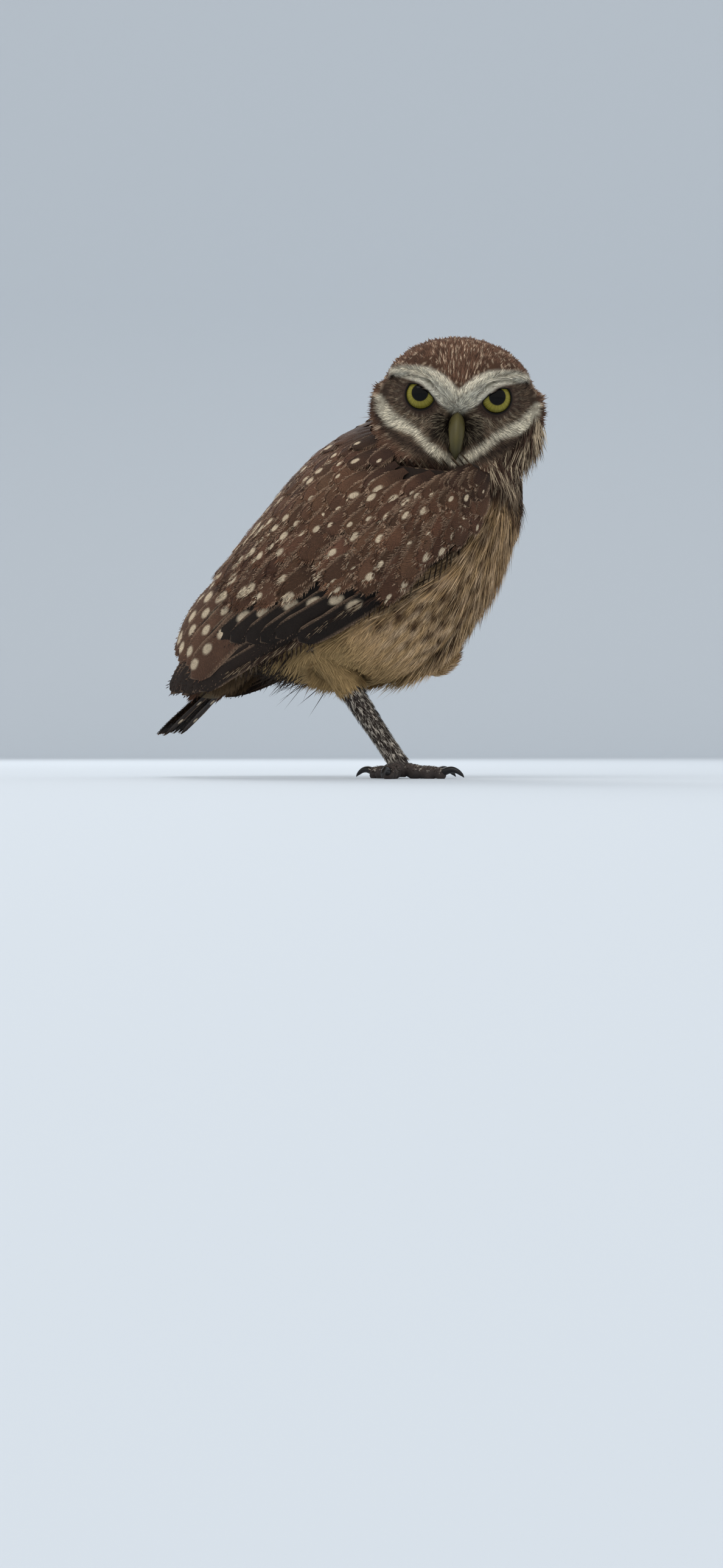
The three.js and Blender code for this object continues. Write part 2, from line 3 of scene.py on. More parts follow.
import bpy
import numpy as np
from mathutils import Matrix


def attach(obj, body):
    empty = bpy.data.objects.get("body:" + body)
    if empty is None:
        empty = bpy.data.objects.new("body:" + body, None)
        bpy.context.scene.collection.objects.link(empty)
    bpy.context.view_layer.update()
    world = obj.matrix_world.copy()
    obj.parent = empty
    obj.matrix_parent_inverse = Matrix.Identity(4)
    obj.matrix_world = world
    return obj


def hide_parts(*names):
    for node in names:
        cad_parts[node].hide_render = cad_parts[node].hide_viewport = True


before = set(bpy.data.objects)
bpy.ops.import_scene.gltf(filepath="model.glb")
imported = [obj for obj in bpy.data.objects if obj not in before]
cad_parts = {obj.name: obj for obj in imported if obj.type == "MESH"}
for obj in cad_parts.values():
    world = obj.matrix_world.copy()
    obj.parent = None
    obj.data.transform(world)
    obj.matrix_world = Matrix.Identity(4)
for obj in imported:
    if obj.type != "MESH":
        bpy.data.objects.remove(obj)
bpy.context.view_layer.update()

# Camera: the bird stands about thirty degrees off side-on, seen from its right front and from just over the
# floor, through a long lens in an upright frame.
VIEW_TURN = math.radians(30)
CAMERA_BACK = 0.9
CAMERA_ASIDE = -0.0153
CAMERA_HEIGHT = 0.012
LENS_LONG = 50.31
SENSOR_HIGH = 36
LOOK_DOWN = math.radians(0.907)

camera_data = bpy.data.cameras.new("camera")
camera_data.sensor_fit = "VERTICAL"
camera_data.sensor_height = SENSOR_HIGH
camera_data.lens = LENS_LONG
camera_data.clip_start = 0.01
camera = bpy.data.objects.new("camera", camera_data)
bpy.context.collection.objects.link(camera)
picture_right = np.array([math.cos(VIEW_TURN), math.sin(VIEW_TURN)])
picture_away = np.array([-math.sin(VIEW_TURN), math.cos(VIEW_TURN)])
camera.location = (*(CAMERA_ASIDE * picture_right - CAMERA_BACK * picture_away), CAMERA_HEIGHT)
camera.rotation_euler = (math.pi / 2 - LOOK_DOWN, 0, VIEW_TURN)
bpy.context.scene.camera = camera

# Skin: the bird's body under its feathers, one closed surface from the rump over trunk and neck to the crown.
# It follows the flesh of the model outwards from a line inside the body, less the depth of the coat. Shapes
# are worked out in millimetres, +X ahead of the bird and +Y to its left, and put into meshes in metres.
MM = 0.001
SPINE = [(-78, 1, 58), (-62, 1, 62), (-44, 1, 70), (-24, 1, 80), (-5, 1, 92), (10, 1, 108), (20, 0, 124),
         (27, -3, 139), (29.2, -4, 151)]
RUMP_ROWS = 22
SPINE_ROWS = 106
CROWN_ROWS = 64
SKIN_AROUND = 240
SKIN_BLUR = 1.6
TRUNK_CENTRE = np.array([-8.0, 1, 92])
TRUNK_WAY = np.array([-0.72, 0, -0.69])
TRUNK_BACK = np.array([-0.69, 0, 0.72])
HEAD_AT = np.array([29.2, -4, 150.5])
HEAD_ROLL = math.radians(-3.3)
HEAD_NOD = math.radians(9)
HEAD_TURN = math.radians(-62)
EYE_AT = np.array([12.6, 14, 3])
BILL_ROOT = np.array([20.0, 0, -4])
FACE_HALF_WIDE, FACE_HALF_HIGH = 33, 27
STEEPEST_RAY = 89.5
RAY_STEP = 0.02
BODY_COAT, RUMP_COAT_MORE = 3.2, 0.8
HEAD_COAT, FACE_COAT_LESS, BROW_RIDGE = 2.0, 1.1, 1.6


def unit(v):
    """Vectors made one long."""
    return v / np.maximum(np.linalg.norm(v, axis=-1, keepdims=True), 1e-9)


def ease(x, low, high):
    """0 below low, 1 above high, and a smooth S between them."""
    t = np.clip((x - low) / (high - low), 0, 1)
    return t * t * (3 - 2 * t)


def along(stations, t):
    """The smooth curve through evenly spaced stations (Catmull-Rom), read at t from 0 to 1."""
    points = np.asarray(stations, float).reshape(len(stations), -1)
    points = np.vstack([2 * points[0] - points[1], points, 2 * points[-1] - points[-2]])
    x = np.clip(np.asarray(t, float), 0, 1) * (len(stations) - 1)
    i = np.minimum(x.astype(int), len(stations) - 2)
    w = (x - i)[..., None]
    p0, p1, p2, p3 = (points[i + k] for k in range(4))
    leave, reach = (p2 - p0) / 2, (p3 - p1) / 2
    return p1 + w * (leave + w * (3 * (p2 - p1) - 2 * leave - reach + w * (2 * (p1 - p2) + leave + reach)))


def turn_matrix(roll, nod, turn):
    """Rolled about X, then nodded about Y, then turned about Z."""
    cx, sx, cy, sy, cz, sz = (f(a) for a in (roll, nod, turn) for f in (math.cos, math.sin))
    about_x = np.array([[1, 0, 0], [0, cx, -sx], [0, sx, cx]])
    about_y = np.array([[cy, 0, sy], [0, 1, 0], [-sy, 0, cy]])
    about_z = np.array([[cz, -sz, 0], [sz, cz, 0], [0, 0, 1]])
    return about_z @ about_y @ about_x


head_matrix = turn_matrix(HEAD_ROLL, HEAD_NOD, HEAD_TURN)


def to_head(p):
    """Points in the head's own frame: +X out of the face, +Y the bird's left, +Z up."""
    return (p - HEAD_AT) @ head_matrix


def from_head(q):
    """Points of the head's own frame, put back into the bird's."""
    return q @ head_matrix.T + HEAD_AT


def put(name, points, faces, material, tint=None, uvs=None, marks=None):
    """A mesh from whole arrays: points in millimetres, faces all of one size, corner UVs, and colours per
    point."""
    mesh = bpy.data.meshes.new(name)
    faces = np.asarray(faces, np.int32)
    mesh.vertices.add(len(points))
    mesh.vertices.foreach_set("co", (np.asarray(points) * MM).astype(np.float32).ravel())
    mesh.loops.add(faces.size)
    mesh.loops.foreach_set("vertex_index", faces.ravel())
    mesh.polygons.add(len(faces))
    mesh.polygons.foreach_set("loop_start", np.arange(0, faces.size, faces.shape[1], dtype=np.int32))
    mesh.polygons.foreach_set("use_smooth", np.ones(len(faces), bool))
    for layer, uv in (uvs or {}).items():
        mesh.uv_layers.new(name=layer).data.foreach_set("uv", np.asarray(uv, np.float32).ravel())
    for attribute, values in (("tint", tint), ("marks", marks)):
        if values is not None:
            rgba = np.ones((len(points), 4), np.float32)
            rgba[:, :values.shape[1]] = values
            layer = mesh.attributes.new(attribute, "FLOAT_COLOR", "POINT")
            layer.data.foreach_set("color", rgba.ravel())
    mesh.update(calc_edges=True)
    mesh.validate()
    mesh.materials.append(material)
    piece = bpy.data.objects.new(name, mesh)
    bpy.context.collection.objects.link(piece)
    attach(piece, "root")
    return piece


def grid_faces(rows, columns, closed=True):
    """Quads of a grid of points, row by row, and the same with columns counted on past the seam."""
    i, j = np.meshgrid(np.arange(rows - 1), np.arange(columns if closed else columns - 1), indexing="ij")
    corners = [(i, j), (i, j + 1), (i + 1, j + 1), (i + 1, j)]
    faces = np.stack([a * columns + b % columns for a, b in corners], -1).reshape(-1, 4)
    open_grid = np.stack([np.stack([b, a], -1) for a, b in corners], -2).reshape(-1, 4, 2)
    return faces, open_grid


def closed_tube(rings):
    """Points, outward triangles and a flat unwrap of a tube through rings of points, shut at both ends by
    fans."""
    rows, columns = rings.shape[:2]
    quads, grid = grid_faces(rows, columns)
    points = np.concatenate([rings.reshape(-1, 3), rings[[0, -1]].mean(1)])
    k = np.arange(columns)
    first, last, end = rows * columns + 0 * k, rows * columns + 1 + 0 * k, (rows - 1) * columns
    following = (k + 1) % columns
    faces = np.concatenate([quads[:, [0, 1, 2]], quads[:, [0, 2, 3]], np.stack([first, following, k], -1),
                            np.stack([last, end + k, end + following], -1)])
    cap = np.stack([k + 0.5, k + 1, k], -1)
    place = np.concatenate([grid[:, [0, 1, 2]], grid[:, [0, 2, 3]], np.stack([cap, 0 * cap], -1),
                            np.stack([cap[:, [0, 2, 1]], 0 * cap + rows - 1], -1)])
    unwrap = 0.01 + 0.98 * place / np.array([columns, rows - 1])
    a, b, c = (points[faces[:, n]] for n in range(3))
    if (a * np.cross(b, c)).sum() < 0:
        faces, unwrap = faces[:, ::-1], unwrap[:, ::-1]
    return points, faces, unwrap


def farthest_hits(origin, ways, corners):
    """How far each ray from one origin goes to the last triangle it meets. A ray meets a triangle where it
    lies on the same side of the three planes through the origin and the triangle's edges."""
    a, b, c = (corners[:, k] - origin for k in range(3))
    sides = np.stack([ways @ np.cross(p, q).T for p, q in ((a, b), (b, c), (c, a))])
    met = (sides >= 0).all(0) | (sides <= 0).all(0)
    normal = np.cross(b - a, c - a)
    slope = ways @ normal.T
    reach = np.where(met & (abs(slope) > 1e-9), (normal * a).sum(1) / np.where(slope == 0, 1, slope), 0)
    return reach.max(1)


def blurred(grid, width):
    """A grid smoothed by a bell curve both ways, round the body without an end."""
    reach = int(3 * width) + 1
    bell = np.exp(-0.5 * (np.arange(-reach, reach + 1) / width) ** 2)
    bell /= bell.sum()
    padded = np.pad(grid, ((reach, reach), (0, 0)) + ((0, 0),) * (grid.ndim - 2), mode="edge")
    rows = sum(w * padded[k:k + len(grid)] for k, w in enumerate(bell))
    return sum(w * np.roll(rows, k - reach, axis=1) for k, w in enumerate(bell))


def node_corners(names):
    """The triangles of some of the model's nodes, in millimetres: n x 3 corners x 3."""
    parts = []
    for name in names:
        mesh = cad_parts[name].data
        mesh.calc_loop_triangles()
        points = np.empty(len(mesh.vertices) * 3)
        mesh.vertices.foreach_get("co", points)
        index = np.empty(len(mesh.loop_triangles) * 3, np.int32)
        mesh.loop_triangles.foreach_get("vertices", index)
        parts.append(points.reshape(-1, 3)[index].reshape(-1, 3, 3) / MM)
    return np.concatenate(parts)


# One origin a row: all the rows of the rump start from the spine's first point, and all those of the crown
# from its last.
spine_share = np.concatenate([np.zeros(RUMP_ROWS), np.linspace(0, 1, SPINE_ROWS), np.ones(CROWN_ROWS)])
lean = np.concatenate([np.linspace(-90, 0, RUMP_ROWS, endpoint=False), np.zeros(SPINE_ROWS),
                       np.linspace(0, 90, CROWN_ROWS + 1)[1:]])
lean = np.radians(np.clip(lean, -STEEPEST_RAY, STEEPEST_RAY))[:, None]
skin_origin = along(SPINE, spine_share)
skin_way = unit(along(SPINE, np.minimum(spine_share + RAY_STEP, 1))
                - along(SPINE, np.maximum(spine_share - RAY_STEP, 0)))
round_angle = np.linspace(0, 2 * np.pi, SKIN_AROUND, endpoint=False)[None, :, None]
across_way = unit(np.array([0, 1.0, 0]) - skin_way * skin_way[:, 1:2])
back_way = -np.cross(across_way, skin_way)
rays = np.cos(round_angle) * across_way[:, None] + np.sin(round_angle) * back_way[:, None]
rays = unit(np.cos(lean)[..., None] * rays + np.sin(lean)[..., None] * skin_way[:, None])
flesh = node_corners(["torso", "neck", "head"])
reach = np.stack([farthest_hits(o, w, flesh) for o, w in zip(skin_origin, rays)])
SKIN_ROWS = len(reach)
reach = np.where(reach < 1, np.median(reach, axis=1, keepdims=True), reach)
reach = blurred(reach, SKIN_BLUR)
outer_skin = skin_origin[:, None] + rays * reach[..., None]


def grid_normals(points):
    """Outward normals of a closed grid, from the steps along its rows and its columns."""
    down = np.gradient(points, axis=0)
    around = (np.roll(points, -1, axis=1) - np.roll(points, 1, axis=1)) / 2
    return unit(np.cross(around, down))


skin_normal = grid_normals(outer_skin)
if (skin_normal * rays).sum(-1).mean() < 0:
    skin_normal = -skin_normal
skin_normal = unit(blurred(skin_normal, SKIN_BLUR))


def face_oval(q):
    """How far out on the face's oval points of the head's frame lie: 0 at its middle, 1 at its edge."""
    return np.hypot(q[..., 1] / FACE_HALF_WIDE, (q[..., 2] - 1) / FACE_HALF_HIGH)


def face_share(p):
    """1 on the face, 0 off it: ahead of the head's middle and within its oval."""
    q = to_head(p)
    return ease(q[..., 0], -2, 6) * ease(-face_oval(q), -1.08, -0.96)


def head_share(p):
    """1 on the head, 0 on the neck and body: near the head's middle and above a plane that slants down
    ahead."""
    q = to_head(p)
    return ease(-np.linalg.norm(q, axis=-1), -42, -37) * ease(q[..., 2] + 0.25 * q[..., 0], -24, -17)


def coat_depth(p):
    """How thick the coat of small feathers is: thinnest on the face, thickest at the rump. It is thicker by
    a bell over each brow, so that the skin leaves room for the brow's ridge."""
    head, face = head_share(p), face_share(p)
    q = to_head(p)
    ridge = np.exp(-((abs(q[..., 1]) - 14) / 10) ** 2 - ((q[..., 2] - 12) / 6.5) ** 2)
    ridge = ridge * ease(q[..., 0], 4, 12)
    body = BODY_COAT + RUMP_COAT_MORE * ease(-p[..., 0], 10, 40)
    return body * (1 - head) + head * (HEAD_COAT - FACE_COAT_LESS * face) + BROW_RIDGE * ridge


skin_points = outer_skin - skin_normal * coat_depth(outer_skin)[..., None]

# Colours of the small feathers, as they are painted over the body and head: brown with pale spots above,
# buff with brown bars below, plain buff at the vent, and the white brows, cheeks and chin of the face. Skin
# and coat share them.
BROWN = (86, 60, 45)
COLLAR = (54, 38, 29)
BUFF = (191, 158, 114)
BUFF_SHADE = (148, 116, 78)
PALE_BUFF = (226, 196, 160)
VENT = (158, 131, 90)
BAR = (68, 45, 28)
SPOT = (188, 168, 140)
CROWN_BROWN = (94, 68, 53)
CROWN_SHADE = (70, 51, 41)
CROWN_SPOT = (196, 172, 146)
WHITE = (216, 209, 190)
DISC = (88, 73, 59)
DISC_DARK = (66, 51, 42)
DISC_CLUMPS = ((1, (134, 114, 92)), (-1, (42, 32, 26)))
DISC_RAY = (158, 144, 122)
DISC_RIM = (48, 36, 29)
WHITE_FLECK = (104, 86, 68)
CHEEK_WHITE = (200, 190, 168)
BILL_DARK = (36, 28, 21)
# Lines on the face, as points outwards and up from its middle, each with its half widths.
BROW_LINE = [(27, 11.6), (22, 11.6), (17, 11.2), (12.5, 10.2), (8.5, 7.4), (4.5, 3.6), (0, 0.6)]
BROW_HALF = [1.2, 2.3, 3.0, 3.6, 4.3, 4.5, 4.6]
CHEEK_LINE = [(31.5, 1), (29.5, -3.6), (26, -7.4), (20.5, -9.6), (15.5, -12)]
CHEEK_HALF = [1.3, 2.5, 2.6, 2.1, 1.2]
CHIN_LINE = [(16.5, -11.8), (11, -16.6), (5.5, -20.4), (0, -22)]
CHIN_HALF = [1.0, 1.4, 1.7, 1.7]
MUZZLE_LINE, MUZZLE_HALF = [(0, -8), (5, -9.5), (8.5, -12)], [4.5, 4, 2.6]
RIM_LINE = [(33.5, 0), (31, -8), (26, -13), (19, -16), (11, -20.6), (0, -26)]
RIM_HALF = [1.4, 1.8, 2, 1.8, 1.6, 1.8]
WEDGE_LINE, WEDGE_HALF = [(0, 20), (0, 7.6)], [6, 1.2]
# Spots: how far apart they are along and round the body or head, and their half sizes.
BAR_PITCH, BAR_HALF = (8.4, 6.6), (3.1, 2.6)
DROP_PITCH, DROP_HALF = (8.5, 6.6), (2.0, 1.25)
DOT_PITCH, DOT_HALF = (3.6, 2.5), (1.15, 0.55)
BODY_ROUND, HEAD_ROUND = 38, 30


def linear(rgb):
    """Screen colour, 0 to 255, as linear light."""
    c = np.asarray(rgb, float) / 255
    return np.where(c <= 0.04045, c / 12.92, ((c + 0.055) / 1.055) ** 2.4)


def chance(i, j, seed):
    """A fixed random number, 0 to 1, for each pair of whole numbers."""
    return np.modf(abs(np.sin(i * 127.1 + j * 311.7 + seed * 74.7) * 43758.5453))[0]


def mottle(p, size, seed):
    """Soft noise from -1 to 1, from waves that cross at odd angles."""
    total = 0
    for k in range(6):
        way = np.array([math.sin(2.1 * k + seed), math.sin(3.7 * k + 1.3 * seed),
                        math.cos(2.9 * k + 0.7 * seed)])
        total = total + np.sin(p @ way * (2.2 + 0.9 * k) / size + 1.7 * k + seed)
    return total / 3.5


def spots(a, b, pitch, half, seed, share=1.0):
    """Oval spots on a grid with every other row set over by half: each is shifted and sized by chance, and
    only a share of them is there."""
    row = np.floor(a / pitch[0])
    b = b + 0.5 * pitch[1] * (row % 2)
    column = np.floor(b / pitch[1])
    shift_a = (chance(row, column, seed) - 0.5) * (pitch[0] - 2.2 * half[0])
    shift_b = (chance(row, column, seed + 1) - 0.5) * (pitch[1] - 2.2 * half[1])
    size = 0.7 + 0.5 * chance(row, column, seed + 2)
    da = (a - (row + 0.5) * pitch[0] - shift_a) / (half[0] * size)
    db = (b - (column + 0.5) * pitch[1] - shift_b) / (half[1] * size)
    return ease(-np.hypot(da, db), -1.25, -0.7) * (chance(row, column, seed + 3) < share)


def band(y, z, line, half, soft=0.8):
    """1 within a half width of a line in the face's plane, with a soft edge: the half width less the
    distance to the nearest stretch of the line, eased."""
    line, half = np.asarray(line, float), np.asarray(half, float)
    inside = np.full(y.shape, -99.0)
    for (y0, z0), (y1, z1), r0, r1 in zip(line[:-1], line[1:], half[:-1], half[1:]):
        dy, dz = y1 - y0, z1 - z0
        t = np.clip(((y - y0) * dy + (z - z0) * dz) / (dy * dy + dz * dz), 0, 1)
        inside = np.maximum(inside, r0 + (r1 - r0) * t - np.hypot(y - y0 - dy * t, z - z0 - dz * t))
    return ease(inside, -soft, soft)


def over(colour, mask, paint):
    """A colour with a paint laid over it, as thickly as a mask from 0 to 1 says."""
    return colour + (linear(paint) - colour) * mask[..., None]


def plumage(p):
    """The colour of the small feathers at points near the body, in linear light: one paint over another,
    each by a mask of how far along, round and up the body a point lies, made uneven by noise."""
    p = np.asarray(p, float)
    way, back = (p - TRUNK_CENTRE) @ TRUNK_WAY, (p - TRUNK_CENTRE) @ TRUNK_BACK
    arc = np.arctan2(p[..., 1] - 1, back) * BODY_ROUND
    wave = mottle(p, 9, 1)
    colour = np.broadcast_to(linear(BUFF), p.shape).copy()
    colour = over(colour, 0.5 * ease(mottle(p, 5, 7), -0.6, 1), BUFF_SHADE)
    pale_breast = ease(p[..., 0] + 0.6 * p[..., 2], 20, 48) * ease(-mottle(p, 4, 8), -0.5, 0.9)
    colour = over(colour, 0.85 * pale_breast, PALE_BUFF)
    # Bars across the breast and flanks, thinning out towards the vent.
    keep = ease(p[..., 0] + 0.6 * p[..., 2] + 8 * wave, 24, 62)
    bars = spots(way + wave, arc + wave, BAR_PITCH, BAR_HALF, 3, 0.95) * ease(keep, 0.15, 0.7)
    flank = ease(abs(arc), 62, 92) * ease(keep, 0.1, 0.8) * ease(mottle(p, 4, 5), -0.5, 0.8)
    colour = over(colour, 0.97 * np.maximum(bars, 0.4 * flank), BAR)
    colour = over(colour, ease(-p[..., 0] - 0.5 * p[..., 2] + 4 * wave, -30, -8), VENT)
    # Long pale streaks where the collar's brown runs down over the breast.
    collar = ease(p[..., 2] + 3.5 * mottle(p, 6, 2) + 0.25 * (p[..., 1] - 1), 101, 108)
    streak = ease(np.sin(arc * 1.5 + 1.2 * mottle(p, 7, 9)), -0.1, 0.6) * ease(-p[..., 2], -127, -106)
    colour = over(colour, collar * (1 - 0.75 * streak * ease(p[..., 1], -12, 12)), COLLAR)
    colour = over(colour, ease(p[..., 2] - 0.55 * p[..., 0], 118, 130), BROWN)
    drops = spots(way, arc, DROP_PITCH, DROP_HALF, 11, 0.85) * ease(p[..., 2], 107, 112)
    colour = over(colour, 0.9 * drops, SPOT)
    return over_head(colour, p)


def over_head(colour, p):
    """The head's own markings laid over a colour: the crown with its dots, the disc, and the white
    bands."""
    q = to_head(p)
    x, y, z = q[..., 0], abs(q[..., 1]), q[..., 2]
    head = head_share(p)
    colour = over(colour, head, CROWN_BROWN)
    colour = over(colour, 0.5 * head * ease(mottle(p, 4, 4), -0.2, 1), CROWN_SHADE)
    round_head = np.arctan2(q[..., 1], x + 2) * HEAD_ROUND + 1.3 * mottle(p, 5, 12)
    height = np.arctan2(z, np.hypot(x, y)) * HEAD_ROUND + mottle(p, 6, 13)
    dots = spots(height, round_head, DOT_PITCH, DOT_HALF, 21, 0.66) * head * (0.55 + 0.45 * ease(x, -18, 12))
    colour = over(colour, 0.85 * dots, CROWN_SPOT)
    front = ease(x, -3, 4)
    # The facial disc, dark at its outer side and round the bill, and paler in rays below the eyes.
    disc = front * ease(-np.hypot(y / 31.5, (z + 1) / 24), -1.04, -0.96) * head
    lower = ease(-(z - 0.2 * y), -9, -3)
    disc = disc * np.maximum(lower, ease(y, 19, 22) * ease(-z, -12, -8))
    colour = over(colour, disc, DISC)
    clump = mottle(q, 1.5, 16)
    for sign, paint in DISC_CLUMPS:
        colour = over(colour, 0.55 * disc * ease(sign * clump, 0.1, 1), paint)
    eye_far = np.hypot(y - EYE_AT[1], z - EYE_AT[2])
    ray = np.sin(np.arctan2(z - EYE_AT[2], y - EYE_AT[1]) * 26 + 2 * mottle(p, 3, 8))
    colour = over(colour, disc * 0.75 * ease(ray, 0, 1) * ease(-eye_far, -16, -8), DISC_RAY)
    outer_side = ease(y, 18.5, 22) * ease(z, -5, 0)
    colour = over(colour, disc * outer_side * (0.75 - 0.5 * ease(clump, -0.2, 1)), DISC_DARK)
    colour = over(colour, disc * ease(-eye_far, -9.3, -7.4), DISC_DARK)
    colour = over(colour, front * 0.9 * band(y, z, MUZZLE_LINE, MUZZLE_HALF, 1.6), BILL_DARK)
    colour = over(colour, front * 0.85 * band(y, z, RIM_LINE, RIM_HALF, 1), DISC_RIM)
    for line, half, paint in ((CHEEK_LINE, CHEEK_HALF, CHEEK_WHITE), (CHIN_LINE, CHIN_HALF, CHEEK_WHITE),
                              (BROW_LINE, BROW_HALF, WHITE)):
        colour = over(colour, front * band(y, z, line, half), paint)
    flecks = ease(mottle(q * np.array([1, 0.55, 1.5]), 1.2, 15), 0.2, 0.9)
    white_bands = band(y, z, BROW_LINE, BROW_HALF) + 0.8 * band(y, z - 1.5, CHEEK_LINE, CHEEK_HALF)
    colour = over(colour, 0.65 * front * np.clip(white_bands, 0, 1) * flecks, WHITE_FLECK)
    wedge = front * band(y, z, WEDGE_LINE, WEDGE_HALF, 0.9)
    return over(colour, 0.9 * wedge * (1 - dots), CROWN_BROWN)


def new_material(name):
    """A material with its nodes, its links and its Principled shader."""
    material = bpy.data.materials.new(name)
    material.use_nodes = True
    nodes = material.node_tree.nodes
    return material, nodes, material.node_tree.links, nodes["Principled BSDF"]


def point_colour(nodes, name="tint"):
    """The node that reads a piece's colour from its points."""
    colour = nodes.new("ShaderNodeAttribute")
    colour.attribute_name = name
    return colour


def add_bump(nodes, links, shader, height, strength, depth):
    """A bump, this strong and this deep in metres, from a height to the shader's normal."""
    bump = nodes.new("ShaderNodeBump")
    bump.inputs["Strength"].default_value = strength
    bump.inputs["Distance"].default_value = depth
    links.new(height, bump.inputs["Height"])
    links.new(bump.outputs["Normal"], shader.inputs["Normal"])


def math_maker(nodes, links):
    """A function that adds a math node, fed by numbers or by what other nodes put out, and gives what it
    puts out."""
    def math_node(operation, *values, clamp=False):
        """One math node."""
        node = nodes.new("ShaderNodeMath")
        node.operation = operation
        node.use_clamp = clamp
        for socket, value in zip(node.inputs, values):
            if isinstance(value, (int, float)):
                socket.default_value = value
            else:
                links.new(value, socket)
        return node.outputs[0]
    return math_node


def scaled_colour(nodes, links, colour, amount):
    """A colour times an amount, both from other nodes."""
    scaled = nodes.new("ShaderNodeVectorMath")
    scaled.operation = "SCALE"
    links.new(colour, scaled.inputs[0])
    links.new(amount, scaled.inputs["Scale"])
    return scaled.outputs[0]


def make_variation():
    """Group: a colour made lighter and darker by two sizes of noise in the piece's own space, with the
    finer noise put out as a height."""
    group = bpy.data.node_groups.new("soft_variation", "ShaderNodeTree")
    for name, kind, value in (("Color", "NodeSocketColor", None), ("Coarse", "NodeSocketFloat", 90),
                              ("Fine", "NodeSocketFloat", 900), ("Amount", "NodeSocketFloat", 0.3)):
        socket = group.interface.new_socket(name, in_out="INPUT", socket_type=kind)
        if value is not None:
            socket.default_value = value
    group.interface.new_socket("Color", in_out="OUTPUT", socket_type="NodeSocketColor")
    group.interface.new_socket("Height", in_out="OUTPUT", socket_type="NodeSocketFloat")
    nodes, links = group.nodes, group.links
    inputs, outputs = nodes.new("NodeGroupInput"), nodes.new("NodeGroupOutput")
    place = nodes.new("ShaderNodeTexCoord")
    levels = []
    for scale in ("Coarse", "Fine"):
        noise = nodes.new("ShaderNodeTexNoise")
        noise.inputs["Detail"].default_value = 3
        links.new(place.outputs["Object"], noise.inputs["Vector"])
        links.new(inputs.outputs[scale], noise.inputs["Scale"])
        levels.append(noise.outputs["Fac"])
    math_node = math_maker(nodes, links)
    swing = math_node("SUBTRACT", math_node("ADD", *levels), 1)
    bright = math_node("MULTIPLY_ADD", swing, inputs.outputs["Amount"], 1)
    links.new(scaled_colour(nodes, links, inputs.outputs["Color"], bright), outputs.inputs["Color"])
    links.new(levels[1], outputs.inputs["Height"])
    return group


variation = make_variation()


def add_variation(nodes, links, colour, coarse, fine, amount):
    """Places the variation group after a colour and returns it."""
    group = nodes.new("ShaderNodeGroup")
    group.node_tree = variation
    for name, value in (("Coarse", coarse), ("Fine", fine), ("Amount", amount)):
        group.inputs[name].default_value = value
    links.new(colour, group.inputs["Color"])
    return group


def coat_material(name, amount, roughness):
    """Small feathers: their painted colour, varied by noise, dull, with a fine bump."""
    material, nodes, links, shader = new_material(name)
    varied = add_variation(nodes, links, point_colour(nodes).outputs["Color"], 260, 1500, amount)
    links.new(varied.outputs["Color"], shader.inputs["Base Color"])
    add_bump(nodes, links, shader, varied.outputs["Height"], 0.25, 0.0003)
    shader.inputs["Roughness"].default_value = roughness
    shader.inputs["Specular IOR Level"].default_value = 0.15
    return material


coat_finish = coat_material("small_feathers", 0.35, 0.8)
down_finish = coat_material("skin_down", 0.5, 0.9)


def grid_bake(column, columns, row, rows):
    """Places on the unwrap of a grid: columns go across it and rows up it, inside a margin of a
    hundredth."""
    return 0.01 + 0.98 * np.stack([column / columns, row / rows], -1)


def skin_bake(row, column):
    """Places on the skin's own unwrap."""
    return grid_bake(column, SKIN_AROUND, row, SKIN_ROWS - 1)


all_skin, skin_faces, skin_uv = closed_tube(skin_points)
# The skin takes the feathers' colours darkened, as painted shade deep among the tufts.
skin = put("body_skin", all_skin, skin_faces, down_finish, tint=plumage(all_skin) * 0.6,
           uvs={"OFBake": skin_uv})
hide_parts("torso", "neck", "head")

# Wings: folded over the back like a cloak, their tips crossed over the tail. A dark core of packed webs
# carries the long flight feathers, and over them lie rows of coverts, scapulars and mantle feathers, like
# shingles.
BODY_AT = np.array([2.5, 1, 0])
CLOAK_BACK = [(0, 154), (-13, 147), (-36, 136), (-57, 116), (-79, 95), (-101, 75), (-117, 48)]
CLOAK_WIDE = [(42, 124), (26, 111), (1, 95), (-25, 81), (-52, 65), (-81, 49), (-108, 32)]
CLOAK_SIZE = [(29, 12), (38, 26), (42, 42), (42, 46), (34, 36), (24, 24), (12, 12)]
WING_LOW = [-30, -52, -38, -31, -30, -22, 0]
WING_HIGH = [-10, 22, 56, 76, 86, 86, 60]
CORE_END = 0.8
LEFT_TUCK = np.array([-4.0, -3, 0])
LEFT_TUCK_END = 0.35
# For the lowest and the highest long feather of a tier: root and tip along the wing, each with its angle up
# the cloak. Then their number, half width, how far the tip stands off, and the colour.
FLIGHT_TIERS = [
    ("primaries", (0.46, -24, 0.92, -18), (0.5, 6, 1.02, 24), 8, 4.2, -1.9, (38, 28, 22)),
    ("secondaries", (0.32, -32, 0.62, -27), (0.46, 26, 0.93, 28), 10, 5.2, -0.9, (30, 22, 17)),
    ("tertials", (0.5, 9, 0.9, 1), (0.5, 66, 0.94, 66), 6, 6.6, 0, (80, 56, 42)),
]
